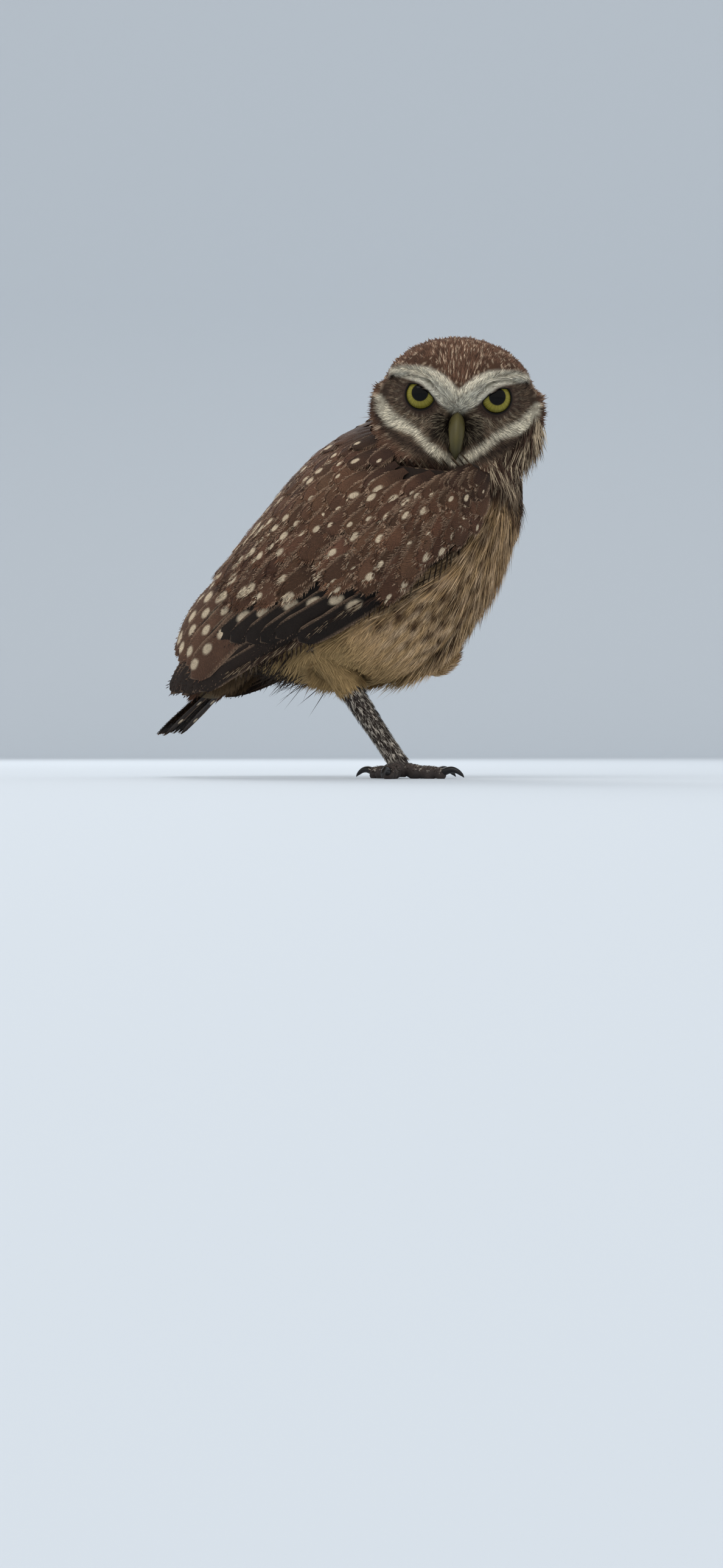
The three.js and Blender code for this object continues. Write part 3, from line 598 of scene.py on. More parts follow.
# The pale marks of the long feathers: how far across, how far from the tip, how far apart, and their half
# width. Those of the secondaries lie just below the coverts.
FLIGHT_MARKS = {"primaries": (2.6, 9, 60, 0.02), "secondaries": (1.6, 1, 60, 2.1),
                "tertials": (2.4, 6, 12.5, 1.8)}
CLOAK_LONG = 160
MARK_LONG = 1.7
COVERT_ROWS = 17
HEAD_CLEAR_FRONT, HEAD_CLEAR_BACK = 41, 34
FRONT_ANGLE = 28
COVERT_LIMIT_ANGLES = [-45, -20, -8, 0, 15, 38, 92]
COVERT_LIMITS = [0.36, 0.42, 0.52, 0.62, 0.7, 0.72, 0.74]
COVERT_BROWN = (80, 55, 40)
COVERT_OVERLAP = 1.32
COVERT_BLUNT = 0.62
CORE_DARK = (34, 26, 21)
MARK_PALE = (186, 168, 142)
MARGIN_BROWN = (132, 108, 88)
LINING_BUFF = (128, 106, 76)
LINING_STREAK = (150, 130, 104)
LINING_BROWN = (62, 46, 37)
LINING_TUFTS = 20000


def cloak(side, s, angle, off):
    """A point of the cloak: s from the shoulder to the wing tip, the angle in degrees from the widest level
    up to the mid line of the back, and how far it stands off."""
    back, wide, size = along(CLOAK_BACK, s), along(CLOAK_WIDE, s), along(CLOAK_SIZE, s)
    rise = back - wide
    high = np.linalg.norm(rise, axis=-1)
    rise = rise / high[..., None]
    reach = np.where(angle > 0, high, size[..., 1]) + off
    turn = np.radians(angle)
    flat = wide + rise * (reach * np.sin(turn))[..., None]
    y = side * (size[..., 0] + off) * np.cos(turn)
    tuck = np.clip(1 - s / LEFT_TUCK_END, 0, 1)[..., None] * LEFT_TUCK * (side > 0)
    return np.stack([flat[..., 0], y, flat[..., 1]], -1) + BODY_AT + tuck


def core_drop(s):
    """How far the core lies under the cloak: 2 mm at the shoulder, and 1.2 more from its middle on."""
    return 2 + 1.2 * np.clip((s - 0.2) / 0.3, 0, 1)


def painted_over(nodes, links, share, colour, paint):
    """A paint laid over a colour by a share, which comes from another node, as the colour does."""
    mix = nodes.new("ShaderNodeMix")
    mix.data_type = "RGBA"
    links.new(share, mix.inputs["Factor"])
    links.new(colour, mix.inputs["A"])
    mix.inputs["B"].default_value = (*linear(paint), 1)
    return mix.outputs["Result"]


# The barbs of a web run out from its shaft on a slant, with this many waves of light and dark to 2 pi
# millimetres.
BARB_SLANT = 0.8
BARB_PITCH = 9.5


def vane_material(name, roughness):
    """A feather's web: fine streaks along its barbs, pale rounded marks in pairs beside the shaft, a paler
    margin. The web's map gives millimetres across from the shaft and down from the tip; the marks attribute
    gives how far out, how far from the tip, how far apart and how large the marks are."""
    material, nodes, links, shader = new_material(name)
    math_node = math_maker(nodes, links)
    web = nodes.new("ShaderNodeUVMap")
    web.uv_map = "web"
    split = nodes.new("ShaderNodeSeparateXYZ")
    links.new(web.outputs["UV"], split.inputs[0])
    marks, tint = point_colour(nodes, "marks"), point_colour(nodes)
    mark = nodes.new("ShaderNodeSeparateColor")
    links.new(marks.outputs["Color"], mark.inputs[0])
    place = nodes.new("ShaderNodeTexCoord")
    wander = nodes.new("ShaderNodeTexNoise")
    wander.inputs["Scale"].default_value = 420
    wander.inputs["Detail"].default_value = 2
    links.new(place.outputs["Object"], wander.inputs["Vector"])
    sway = math_node("MULTIPLY_ADD", wander.outputs["Fac"], 1.6, -0.8)
    across, from_tip = split.outputs["X"], split.outputs["Y"]
    pitch, size = mark.outputs["Blue"], marks.outputs["Alpha"]
    beside = math_node("DIVIDE", math_node("SUBTRACT", across, mark.outputs["Red"]), size)
    down = math_node("SUBTRACT", math_node("ADD", from_tip, sway), mark.outputs["Green"])
    near = math_node("PINGPONG", down, math_node("MULTIPLY", pitch, 0.5))
    length = math_node("DIVIDE", near, math_node("MULTIPLY", size, MARK_LONG))
    far = math_node("SQRT", math_node("ADD", math_node("MULTIPLY", beside, beside),
                                      math_node("MULTIPLY", length, length)))
    slant = math_node("ADD", math_node("MULTIPLY", math_node("ABSOLUTE", across), BARB_SLANT), from_tip)
    streak = math_node("SINE", math_node("MULTIPLY", math_node("ADD", slant, sway), BARB_PITCH))
    streak = math_node("MULTIPLY", streak, wander.outputs["Fac"])
    outside = math_node("MULTIPLY", math_node("MULTIPLY_ADD", streak, 0.3, far), 2.4)
    spot = math_node("SUBTRACT", 2.9, outside, clamp=True)
    spot = math_node("MULTIPLY", spot, math_node("GREATER_THAN", size, 0.05))
    margin = math_node("MULTIPLY", math_node("SUBTRACT", tint.outputs["Alpha"], 0.72, clamp=True), 2.3)
    marked = painted_over(nodes, links, spot, tint.outputs["Color"], MARK_PALE)
    edged = painted_over(nodes, links, margin, marked, MARGIN_BROWN)
    bright = math_node("MULTIPLY_ADD", streak, 0.85, 1.0)
    varied = add_variation(nodes, links, scaled_colour(nodes, links, edged, bright), 160, 1300, 0.8)
    links.new(varied.outputs["Color"], shader.inputs["Base Color"])
    add_bump(nodes, links, shader, streak, 0.35, 0.0002)
    shader.inputs["Roughness"].default_value = roughness
    shader.inputs["Specular IOR Level"].default_value = 0.15
    return material


vane_finish = vane_material("feather_webs", 0.7)
VANE_STEPS = np.array([0, 0.14, 0.28, 0.42, 0.56, 0.68, 0.79, 0.88, 0.95, 1.0])
VANE_ACROSS = np.array([-1, -0.66, -0.33, 0, 0.33, 0.66, 1.0])

# A web droops to its edges by its camber, and is tilted so that its one edge goes under its neighbour.
CAMBER = 0.12
SHINGLE = 0.15
RIM_AT = 0.82


def web_width(t, blunt):
    """Half width of a web along its length: narrow at the root, full for most of it and rounded at the
    tip."""
    root = 0.5 + 0.5 * ease(t, 0, 0.45)
    tip = np.clip(1 - np.clip((t - blunt) / (1 - blunt), 0, 1) ** 2.2, 0, 1) ** 0.5
    return root * np.maximum(tip, 0.06)


def vanes(name, path, half, tint, marks, seed, blunt=COVERT_BLUNT, ragged=0.16, barbs=26, frayed=3.0):
    """Many feathers as one mesh. path(t) gives each feather's middle, the way across it and the way out of
    the body, n x steps x 3 each. A web is a grid across and along that middle, its edges drooped and cut
    ragged, and narrow barbs stand out from its rim towards the tip."""
    draw = np.random.default_rng(seed)
    count = len(half)
    at, across, out = path(VANE_STEPS)
    ahead = unit(np.gradient(at, axis=1))
    long = np.linalg.norm(np.diff(at, axis=1), axis=-1).sum(1)
    width = half[:, None] * web_width(VANE_STEPS, blunt)[None]
    jag = 1 + ragged * draw.uniform(-1, 0.6, (count, len(VANE_STEPS), 2))
    u = VANE_ACROSS[None, None, :] * np.where(VANE_ACROSS < 0, jag[..., :1], jag[..., 1:])
    x = u * width[..., None]
    drop = CAMBER * half[:, None, None] * u ** 2 - SHINGLE * x + 0.05 * draw.normal(size=x.shape)
    points = at[:, :, None] + across[:, :, None] * x[..., None] - out[:, :, None] * drop[..., None]
    rows, columns = len(VANE_STEPS), len(VANE_ACROSS)
    down = long[:, None, None] * (1 - VANE_STEPS[None, :, None]) + 0 * x
    quads, _ = grid_faces(rows, columns, closed=False)
    one = np.concatenate([quads[:, [0, 1, 2]], quads[:, [0, 2, 3]]])
    faces = (one[None] + (np.arange(count) * rows * columns)[:, None, None]).reshape(-1, 3)
    # Barbs on the rim: two sides, from a third of the way down to the tip.
    t = 0.3 + 0.7 * (np.arange(barbs) + 0.5 * draw.random((count, 2, barbs))) / barbs
    base_at, base_across, base_out = (v.reshape(count, 2, barbs, 3) for v in path(t.reshape(count, -1)))
    hand = np.array([-1.0, 1.0])[None, :, None]
    rim = RIM_AT * half[:, None, None] * web_width(t, blunt)
    tip_share = ease(t, 0.55, 1.0)
    forward = unit(np.cross(base_out, base_across))
    middle_ahead = ahead[:, len(VANE_STEPS) // 2][:, None, None]
    forward = forward * np.sign((forward * middle_ahead).sum(-1, keepdims=True))
    sideways = hand * (0.65 - 0.45 * tip_share) + draw.normal(0, 0.1, t.shape)
    heading = unit(forward * (0.75 + 0.5 * tip_share)[..., None] + base_across * sideways[..., None]
                   + base_out * draw.uniform(-0.05, 0.14, t.shape)[..., None])
    reach = frayed * draw.uniform(0.6, 1.25, t.shape)
    start = base_at + base_across * (hand * rim)[..., None]
    start = start - base_out * (CAMBER * half[:, None, None] * 0.6 - SHINGLE * hand * rim - 0.12)[..., None]
    aside = unit(np.cross(base_out, heading)) * 0.24
    waist = start + heading * (0.55 * reach)[..., None]
    barb = np.stack([start - aside, start + aside, waist + aside * 0.8, waist - aside * 0.8,
                     start + heading * reach[..., None]], -2)
    outwards = reach[..., None] * np.array([0, 0, 0.3, 0.3, 0.55])
    barb_x = (hand * rim)[..., None] + outwards * hand[..., None]
    downwards = reach[..., None] * np.array([0, 0, 0.5, 0.5, 0.9])
    barb_down = (long[:, None, None] * (1 - t))[..., None] - downwards
    blade = np.array([[0, 1, 2], [0, 2, 3], [3, 2, 4]])
    blades = count * 2 * barbs
    barb_faces = (blade[None] + (np.arange(blades) * 5)[:, None, None]).reshape(-1, 3) + points.size // 3
    all_points = np.concatenate([points.reshape(-1, 3), barb.reshape(-1, 3)])
    web = np.concatenate([np.stack(place, -1).reshape(-1, 2) for place in ((x, down), (barb_x, barb_down))])
    owner = np.concatenate([np.repeat(np.arange(count), each) for each in (rows * columns, 2 * barbs * 5)])
    margin = np.maximum(abs(web[:, 0]) / half[owner], 1 - web[:, 1] / (0.5 * half[owner]))
    colours = np.concatenate([tint[owner], margin[:, None]], 1)
    # Painted shade: each web and its barbs are darkened towards the root, where they lie under the feathers
    # over them.
    colours[:, :3] *= (1 - 0.45 * ease(web[:, 1], 0.3 * long[owner], 0.8 * long[owner]))[:, None]
    colours[points.size // 3:, :3] *= np.repeat(draw.uniform(0.6, 1.5, blades), 5)[:, None]
    cells = math.ceil(math.sqrt(count))
    cell = np.stack([owner % cells, owner // cells], -1)
    inside = np.stack([0.5 + 0.28 * web[:, 0] / half[owner], 0.12 + 0.76 * web[:, 1] / long[owner]], -1)
    bake = (cell + np.clip(inside, 0.04, 0.96)) / cells
    faces = np.concatenate([faces, barb_faces])
    piece = put(name, all_points, faces, vane_finish, tint=colours, marks=marks[owner],
                uvs={"web": web[faces], "OFBake": bake[faces]})
    print(name, count, "feathers", len(faces), "triangles")
    return piece


# How much of a blade's rise it loses again to its tip, and where along it the keel stands.
DROOP = 0.45
BLADE_MIDDLE = 0.45


def tufts(name, roots, out, way, bake, length, width, lift, blades, spread, slot, seed, paint=plumage,
          shade=(0.42, 0.9, 1.15), sway=0.1, vary=(0.7, 1.3)):
    """Tufts as one mesh: from each root a fan of blades, each a narrow keeled leaf of four faces that runs
    out along the lie, rises by its lift and bends back down by its droop, and ends in a point. The shade
    sets a blade's colour at its root, its middle and its tip: darker at the root as painted shade, where
    the blade lies under its neighbours, and paler at the tip."""
    draw = np.random.default_rng(seed)
    length, width, lift = (np.broadcast_to(v, len(roots)).astype(float) for v in (length, width, lift))
    way = unit(way - out * (way * out).sum(-1, keepdims=True))
    side = np.cross(out, way)
    fan = (np.arange(blades) - (blades - 1) / 2) / max(1, (blades - 1) / 2)
    each = (len(roots), blades)
    turn = (fan * spread + draw.normal(0, sway, each))[..., None]
    heading = np.cos(turn) * way[:, None] + np.sin(turn) * side[:, None]
    long = (length[:, None] * (1 - 0.15 * abs(fan)) * draw.uniform(0.75, 1.15, each))[..., None]
    rise = (lift[:, None] * draw.uniform(0.7, 1.3, each))[..., None]
    aside, up, wide, t = np.cross(out[:, None], heading), out[:, None], width[:, None, None], BLADE_MIDDLE
    start = roots[:, None] + side[:, None] * (fan[None, :, None] * wide * 0.8) - up * 0.3
    centre = start + heading * long * t + up * long * rise * (t - DROOP * t * t)
    end = start + heading * long + up * long * rise * (1 - DROOP)
    edge = aside * wide * 0.62
    points = np.stack([start, centre + edge, centre + up * wide * 0.3, centre - edge, end], 2)
    middles = points[:, :, [0, 2, 4]]
    if callable(paint):
        painted = paint(middles.reshape(-1, 3)).reshape(middles.shape)
    else:
        painted = paint[:, None, None]
    painted = painted * draw.uniform(*vary, long.shape)[..., None]
    tint = (painted * np.array(shade)[:, None] * np.ones(middles.shape))[:, :, [0, 1, 1, 1, 2]]
    one = np.array([[0, 2, 1], [0, 3, 2], [1, 2, 4], [2, 3, 4]])
    total = points.shape[0] * blades
    faces = (one[None] + (np.arange(total) * 5)[:, None, None]).reshape(-1, 3)
    patch_u = 0.0006 * fan[:, None] + 0.0003 * np.array([0, 1, 0, -1, 0])
    patch_v = 0.003 * np.array([-0.5, 0, 0, 0, 0.5])
    patch = bake[:, None, None] + np.stack([patch_u, np.broadcast_to(patch_v, patch_u.shape)], -1)
    piece = put(name, points.reshape(-1, 3), faces, coat_finish, tint=tint.reshape(-1, 3),
                uvs={"OFBake": patch.reshape(-1, 2)[faces]})
    print(name, len(roots), "tufts", len(faces), "triangles")
    return piece


def fringe(name, path, half, tint, marks, place, each, seed):
    """Loose barbs that stand from the webs of feathers towards their tips, pale where they rise from a pale
    mark. place(t) gives where on the wing the roots are, along it and up the cloak, for their own
    unwrap."""
    draw = np.random.default_rng(seed)
    long = np.linalg.norm(path(np.ones((len(half), 1)))[0] - path(np.zeros((len(half), 1)))[0], axis=-1)
    t, u = 1 - draw.uniform(0, 5.5, (len(half), each)) / long, draw.uniform(-0.9, 0.9, (len(half), each))
    at, across, out = path(t)
    ahead = unit(path(np.minimum(t + 0.04, 1.03))[0] - at)
    x = u * half[:, None] * web_width(np.minimum(t, 0.97), COVERT_BLUNT)
    root = at + across * x[..., None] - out * (CAMBER * half[:, None] * u ** 2 - SHINGLE * x - 0.1)[..., None]
    down = np.linalg.norm(path(np.ones_like(t))[0] - at, axis=-1)
    size = np.maximum(marks[:, 3:], 0.01)
    inside = np.hypot((x - marks[:, :1]) / size, (down - marks[:, 1:2]) / (MARK_LONG * size))
    pale = ease(-inside, -1.25, -0.95)[..., None] * (marks[:, 3:] > 0.05)[..., None]
    brown = tint[:, None] * (1.05 + 0.3 * ease(-down, -3, 0)[..., None])
    colour = brown + (linear(MARK_PALE) - brown) * pale
    way = ahead + across * (0.3 * u)[..., None]
    root, out, way, colour = (v.reshape(-1, 3) for v in (root, out, way, colour))
    return tufts(name, root, out, way, np.stack(place(t), -1).reshape(-1, 2), 3.6, 0.3, 0.1, 2, 0.1,
                 "wing_feathers", seed, paint=colour, shade=(0.7, 1, 1.15), vary=(0.55, 1.35), sway=0.08)


def lining(name, rings, seed):
    """The small feathers on the wing's underside and round its lower edge: brown outside, with pale
    streaks, and buff within."""
    draw = np.random.default_rng(seed)
    rows, columns = rings.shape[:2]
    half_ring = columns // 2
    share = np.append(np.linspace(0, 1, half_ring), np.linspace(1, 0, half_ring))
    under = np.append(np.zeros(half_ring), np.ones(half_ring))
    row, column = draw.integers(0, rows, LINING_TUFTS), draw.integers(0, columns, LINING_TUFTS)
    s = row / (rows - 1) * CORE_END
    shoulder = (under[column] == 0) & (s < 0.16)
    keep = (share[column] < 0.03) | shoulder | (under[column] > 0) & ((share[column] < 0.34) | (s > 0.42))
    row, column, s, shoulder = row[keep], column[keep], s[keep], shoulder[keep]
    here, mate = rings[row, column], rings[row, columns - 1 - column]
    over_edge = unit(rings[row, 0] - rings[row, half_ring // 2])
    out = unit(unit(here - mate + 1e-6) + over_edge * np.clip(1.6 - 20 * share[column], 0, 2)[:, None])
    ahead = unit(rings[np.minimum(row + 1, rows - 1), column] - rings[np.maximum(row - 1, 0), column])
    rim = np.maximum(ease(-share[column], -0.2, -0.05), shoulder)[:, None]
    streak = (draw.random(len(row)) < 0.3)[:, None]
    outside = np.where(streak, linear(LINING_STREAK), linear(LINING_BROWN))
    colour = linear(LINING_BUFF) + (outside - linear(LINING_BUFF)) * rim
    tufts(name, here, out, ahead - 0.1 * over_edge, grid_bake(column, columns, row, rows),
          9 - 2 * ease(s, 0.5, 0.8), 0.45, 0.16, 3, 0.1, "wing_feathers", seed, paint=colour,
          vary=(0.6, 1.35), sway=0.06)


def wing_path(side, root, root_angle, tip, tip_angle, stand, sunk):
    """Feathers laid on the cloak, from deep in it at the root to their stand at the tip."""
    def path(t):
        """The middles, ways across and ways out at shares t of the feathers' lengths."""
        t = np.broadcast_to(t, (len(root), np.shape(t)[-1]))
        s = root[:, None] + (tip - root)[:, None] * t
        angle = root_angle[:, None] + (tip_angle - root_angle)[:, None] * t
        off = sunk[:, None] + (stand - sunk)[:, None] * t ** 0.7
        at = cloak(side, s, angle, off)
        out = unit(cloak(side, s, angle, off + 1) - at)
        across = unit(cloak(side, s, angle + 2, off) - at)
        return at, across, unit(out - across * (out * across).sum(-1, keepdims=True))
    return path


def wing_core(side):
    """The wing's dark core: a shell over the cloak, rounded at its edges, as rings from shoulder to tip."""
    s = np.linspace(0, CORE_END, 60)[:, None]
    t = np.linspace(0, 1, 40)[None]
    low, high = along(WING_LOW, s[:, 0]), np.minimum(88, along(WING_HIGH, s[:, 0]))
    angle = low + (high - low) * t
    round_edge = np.sin(np.pi * t) ** 0.6
    top = -core_drop(s) - 0.3 - 0.8 * (1 - round_edge)
    deep = 8.4 - 3 * np.clip((s - 0.5) / 0.2, 0, 1)
    under = top - (deep + top) * round_edge
    ones = np.ones_like(angle)
    upper_face = cloak(side, s * ones, angle, top * ones)
    lower_face = cloak(side, s * ones, angle, under * ones)[:, ::-1]
    return np.concatenate([upper_face, lower_face], 1)


for side, hand in ((1, "left"), (-1, "right")):
    rings = wing_core(side)
    core_points, core_faces, core_uv = closed_tube(rings)
    core = put(f"{hand}_wing_core", core_points, core_faces, down_finish,
               tint=np.broadcast_to(linear(CORE_DARK), core_points.shape), uvs={"OFBake": core_uv})
    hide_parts("wing_" + hand)
    draw = np.random.default_rng(5 + side)
    for tier, low, high, count, half, off, colour in FLIGHT_TIERS:
        share = np.linspace(0, 1, count)
        root, root_angle, tip, tip_angle = (a + (b - a) * share for a, b in zip(low, high))
        tip = tip + 0.006 * draw.normal(size=count)
        tint = linear(colour) * draw.uniform(0.88, 1.12, (count, 1))
        bare = (tip - np.interp(tip_angle, COVERT_LIMIT_ANGLES, COVERT_LIMITS)) * CLOAK_LONG
        marks = np.array([FLIGHT_MARKS[tier]] * count) * draw.uniform(0.76, 1.18, (count, 4))
        marks[:, 1] += np.maximum(0, bare - 5) if tier == "secondaries" else 0
        path = wing_path(side, root, root_angle, tip, tip_angle + 1.2 * draw.normal(size=count),
                         np.full(count, off), -core_drop(root) - 1.3)
        vanes(f"{hand}_{tier}", path, half * draw.uniform(0.95, 1.05, count), tint, marks, 11 + side,
              blunt=0.8, frayed=1.6, ragged=0.06)
    roots, root_angles, tips, tip_angles, halves, stands = [], [], [], [], [], []
    for row, share in enumerate(np.linspace(0, 1, COVERT_ROWS)):
        low_angle = float(along(WING_LOW, 0.02 + 0.5 * share)[0]) - 5
        row_long = (92 - low_angle) / 57.3 * 41
        width = 2.7 + 2.6 * share
        number = int(row_long / (COVERT_OVERLAP * width))
        spread = (np.arange(number) + 0.5 * (row % 2) + 0.3 * draw.random(number)) / number
        angle = low_angle + (91 - low_angle) * spread
        limit = np.interp(angle, COVERT_LIMIT_ANGLES, COVERT_LIMITS)
        tip = 0.045 + (limit - 0.045) * share + 0.006 * draw.normal(size=number)
        roots.append(np.maximum(tip - (0.075 + 0.075 * share), -0.02))
        tips.append(tip)
        tip_angles.append(angle + 1.5 * draw.normal(size=number))
        root_angles.append(angle + 3 * (1 - angle / 90))
        halves.append(np.full(number, width) * draw.uniform(0.88, 1.12, number))
        stands.append(draw.uniform(0.2, 1.2, number))
    root, root_angle, tip, tip_angle, half, stand = map(
        np.concatenate, (roots, root_angles, tips, tip_angles, halves, stands))
    head_clear = np.where(root_angle < FRONT_ANGLE, HEAD_CLEAR_FRONT, HEAD_CLEAR_BACK)
    near_head = np.linalg.norm(cloak(side, root, root_angle, 0 * root) - HEAD_AT, axis=-1) < head_clear
    clear = ~(near_head | (tip_angle > along(WING_HIGH, tip)[:, 0] + 8) & (tip < 0.12))
    root, root_angle, tip, tip_angle, half, stand = (
        v[clear] for v in (root, root_angle, tip, tip_angle, half, stand))
    count = len(root)
    from_head_far = np.linalg.norm(cloak(side, tip, tip_angle, 0 * tip) - HEAD_AT, axis=-1)[:, None]
    tint = linear(COVERT_BROWN) * draw.uniform(0.62, 1.3, (count, 1)) * draw.uniform(0.96, 1.04, (count, 3))
    tint = tint * (0.5 + 0.5 * ease(from_head_far, 42, 60))
    size = (0.7 + 0.95 * tip / 0.6) * draw.uniform(0.6, 1.2, count) * (draw.random(count) < 0.74)
    beside = half * draw.uniform(0.2, 0.5, count) * draw.choice([-1, 1], count)
    marks = np.stack([beside, draw.uniform(2.2, 4.0, count), np.full(count, 60.0), size], -1)
    path = wing_path(side, root, root_angle, tip, tip_angle, stand, -1.6 * np.ones(count))
    vanes(f"{hand}_coverts", path, half, tint, marks, 31 + side)

    def place(t):
        """Where on the wing's own unwrap the coverts are at shares t of their lengths."""
        s_here = root[:, None] + (tip - root)[:, None] * t
        angle_here = root_angle[:, None] + (tip_angle - root_angle)[:, None] * t
        return 0.02 + 0.9 * np.maximum(s_here, 0), 0.3 + angle_here / 200

    fringe(f"{hand}_covert_fringe", path, half, tint, marks, place, 19, 51 + side)
    lining(f"{hand}_wing_lining", rings, 61 + side)

# Tail: twelve narrow brown feathers closed into one slim fan under the wing tips. Each lies under its inner
# neighbour, and all of them grow from a core of packed coverts.
TAIL_ROOT = np.array([-71.0, 0, 57]) + BODY_AT
TAIL_DOWN = math.radians(38)
TAIL_WAY = np.array([-math.cos(TAIL_DOWN), 0, -math.sin(TAIL_DOWN)])
TAIL_UP = np.array([-math.sin(TAIL_DOWN), 0, math.cos(TAIL_DOWN)])
TAIL_CORE = 34
TAIL_REACH = 65
TAIL_PAIRS = 6
TAIL_ASIDE = np.array([0, 1.0, 0])
TAIL_RINGS, TAIL_ROUND = 30, 40
TAIL_HALF_WIDE = 3.6
TAIL_CORE_BUFF = (84, 70, 50)
TAIL_BROWN = (44, 33, 26)
TAIL_MARKS = (1.9, 9.0, 12.0, 0.8)

s = np.linspace(0, 1, TAIL_RINGS)[:, None]
a = np.linspace(0, 2 * np.pi, TAIL_ROUND, endpoint=False)[None]
tail_rings = (TAIL_ROOT + TAIL_WAY * (s * TAIL_CORE)[..., None]
              + TAIL_UP * ((6.2 - 3.4 * s) * np.sin(a))[..., None]
              + TAIL_ASIDE * ((8.2 + 2 * s) * np.cos(a))[..., None])
tail_points, tail_faces, tail_uv = closed_tube(tail_rings)
tail_core = put("tail_core", tail_points, tail_faces, down_finish,
                tint=np.broadcast_to(linear(TAIL_CORE_BUFF), tail_points.shape), uvs={"OFBake": tail_uv})
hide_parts("tail")
pair = np.repeat(np.arange(TAIL_PAIRS), 2)
hand = np.tile([1.0, -1.0], TAIL_PAIRS)
aside = hand * np.where(pair == 0, 0.8, 1.8 + 0.75 * pair)
level = 2.2 - 0.95 * pair + np.where((pair == 0) & (hand > 0), 0.95, 0)
tail_reach = TAIL_REACH - 1.3 * pair + np.random.default_rng(4).normal(0, 0.6, len(pair))


def tail_path(t):
    """Straight feathers side by side, each under its inner neighbour, the middle one on top and longest."""
    t = np.broadcast_to(t, (len(pair), np.shape(t)[-1]))
    run = (TAIL_CORE - 20) + (tail_reach - TAIL_CORE + 20)[:, None] * t
    at = TAIL_ROOT + TAIL_WAY * run[..., None] + TAIL_UP * (level[:, None] * (0.55 + 0.45 * t))[..., None]
    at = at + TAIL_ASIDE * (aside[:, None] * (0.6 + 0.4 * t))[..., None]
    ones = np.ones(t.shape + (1,))
    return at, TAIL_ASIDE * ones, TAIL_UP * ones


count = len(pair)
vanes("tail_fan", tail_path, np.full(count, TAIL_HALF_WIDE), np.tile(linear(TAIL_BROWN), (count, 1)),
      np.tile(TAIL_MARKS, (count, 1)), 8, blunt=0.72, barbs=24, frayed=1.4, ragged=0.08)

# Tail coverts: loose buff feathers that hang from the root of the tail and fill the gap to the wing tips,
# and brown ones that lie back over its upper side.
UNDERTAIL_BUFF = (92, 73, 52)
draw = np.random.default_rng(19)
tail_out = unit(tail_rings - tail_rings.mean(1, keepdims=True))


def tail_coverts(name, rows, columns, count, way, paint, lengths, *looks, **more):
    """Tufts scattered by chance over some rows and columns of the tail's core, all with the same lie, of
    one length over its root's half and another beyond."""
    row, column = draw.integers(*rows, count), draw.integers(*columns, count)
    shape = (count, 3)
    tufts(name, tail_rings[row, column], tail_out[row, column], np.broadcast_to(way, shape),
          grid_bake(column, TAIL_ROUND, row, TAIL_RINGS), np.where(row < 16, *lengths), *looks,
          paint=np.broadcast_to(linear(paint), shape), **more)


tail_coverts("undertail_coverts", (0, 22), (20, 40), 1500, TAIL_WAY + np.array([0.35, 0, -0.5]),
             UNDERTAIL_BUFF, (10.0, 6.0), 0.42, 0.26, 4, 0.2, "belly_feathers", 20, vary=(0.5, 1.4))
tail_coverts("uppertail_coverts", (0, 28), (0, 21), 1100, TAIL_WAY, BROWN,
             (8.0, 8.0), 0.5, 0.16, 4, 0.22, "tail_feathers", 21, vary=(0.6, 1.3))

# Coat: the small feathers of the belly, breast, neck and head. Each is a tuft of narrow blades that share a
# root in the skin and lie along the body, shortest on the face, and painted like the skin below them.
EYE_CLEAR = 7.0
HAIR_BLACK = (44, 35, 28)
cloak_s, cloak_angle = np.meshgrid(np.linspace(0, 1, 48), np.linspace(-52, 90, 40), indexing="ij")
cloak_grid = cloak(1, cloak_s, cloak_angle, np.zeros_like(cloak_s)).reshape(-1, 3)


def under_wing():
    """Two masks of the skin, by the nearest point of the cloak: what the folded wings cover, and the band
    along their front and lower edges."""
    sample = skin_points[::2, ::2].reshape(-1, 3).copy()
    sample[:, 1] = abs(sample[:, 1] - 1) + 1
    square = (sample ** 2).sum(1)[:, None] - 2 * sample @ cloak_grid.T + (cloak_grid ** 2).sum(1)[None]
    nearest = square.argmin(1)
    s, angle = cloak_s.ravel()[nearest], cloak_angle.ravel()[nearest]
    low, high = along(WING_LOW, s)[:, 0], along(WING_HIGH, s)[:, 0]
    high = np.where(s > 0.06, 92, high)
    covered = ease(angle, low + 2, low + 8) * (angle < high) * (s > 0.06) * (s < 0.97)
    edge = ease(angle, low - 12, low - 2) * ease(-angle, -low - 16, -low - 8) + ease(-s, -0.2, -0.1)
    edge = edge * (s > 0.03) * (s < 0.6) * (angle < along(WING_HIGH, s)[:, 0] + 4)
    rows, columns = skin_points[::2, ::2].shape[:2]
    return (np.repeat(np.repeat(mask.reshape(rows, columns), 2, 0), 2, 1)[:SKIN_ROWS, :SKIN_AROUND]
            for mask in (covered, np.minimum(edge, 1)))


wing_cover, edge_band = under_wing()


def lie(p):
    """The way the small feathers lie: back from the bill over the head, out from the eyes on the face, and
    down and back along the body."""
    q = to_head(p)
    from_bill = unit(q - BILL_ROOT)
    eye = np.stack([np.full(len(q), EYE_AT[0]), np.sign(q[:, 1]) * EYE_AT[1], np.full(len(q), EYE_AT[2])], -1)
    near = np.exp(-(np.linalg.norm(q - eye, axis=-1, keepdims=True) / 11) ** 2)
    way = unit(from_bill * (1 - 0.7 * near) + unit(q - eye) * near) @ head_matrix.T
    share = head_share(p)[:, None]
    return unit(way * share + TRUNK_WAY * (1 - share))


def read_grid(grid, row, column):
    """A grid on the skin, read between its rows and columns."""
    i, j = row.astype(int), column.astype(int)
    wi, wj = (row - i)[:, None], (column - j)[:, None]
    i1, j1 = np.minimum(i + 1, SKIN_ROWS - 1), (j + 1) % SKIN_AROUND
    return (grid[i, j] * (1 - wi) * (1 - wj) + grid[i1, j] * wi * (1 - wj)
            + grid[i, j1] * (1 - wi) * wj + grid[i1, j1] * wi * wj)


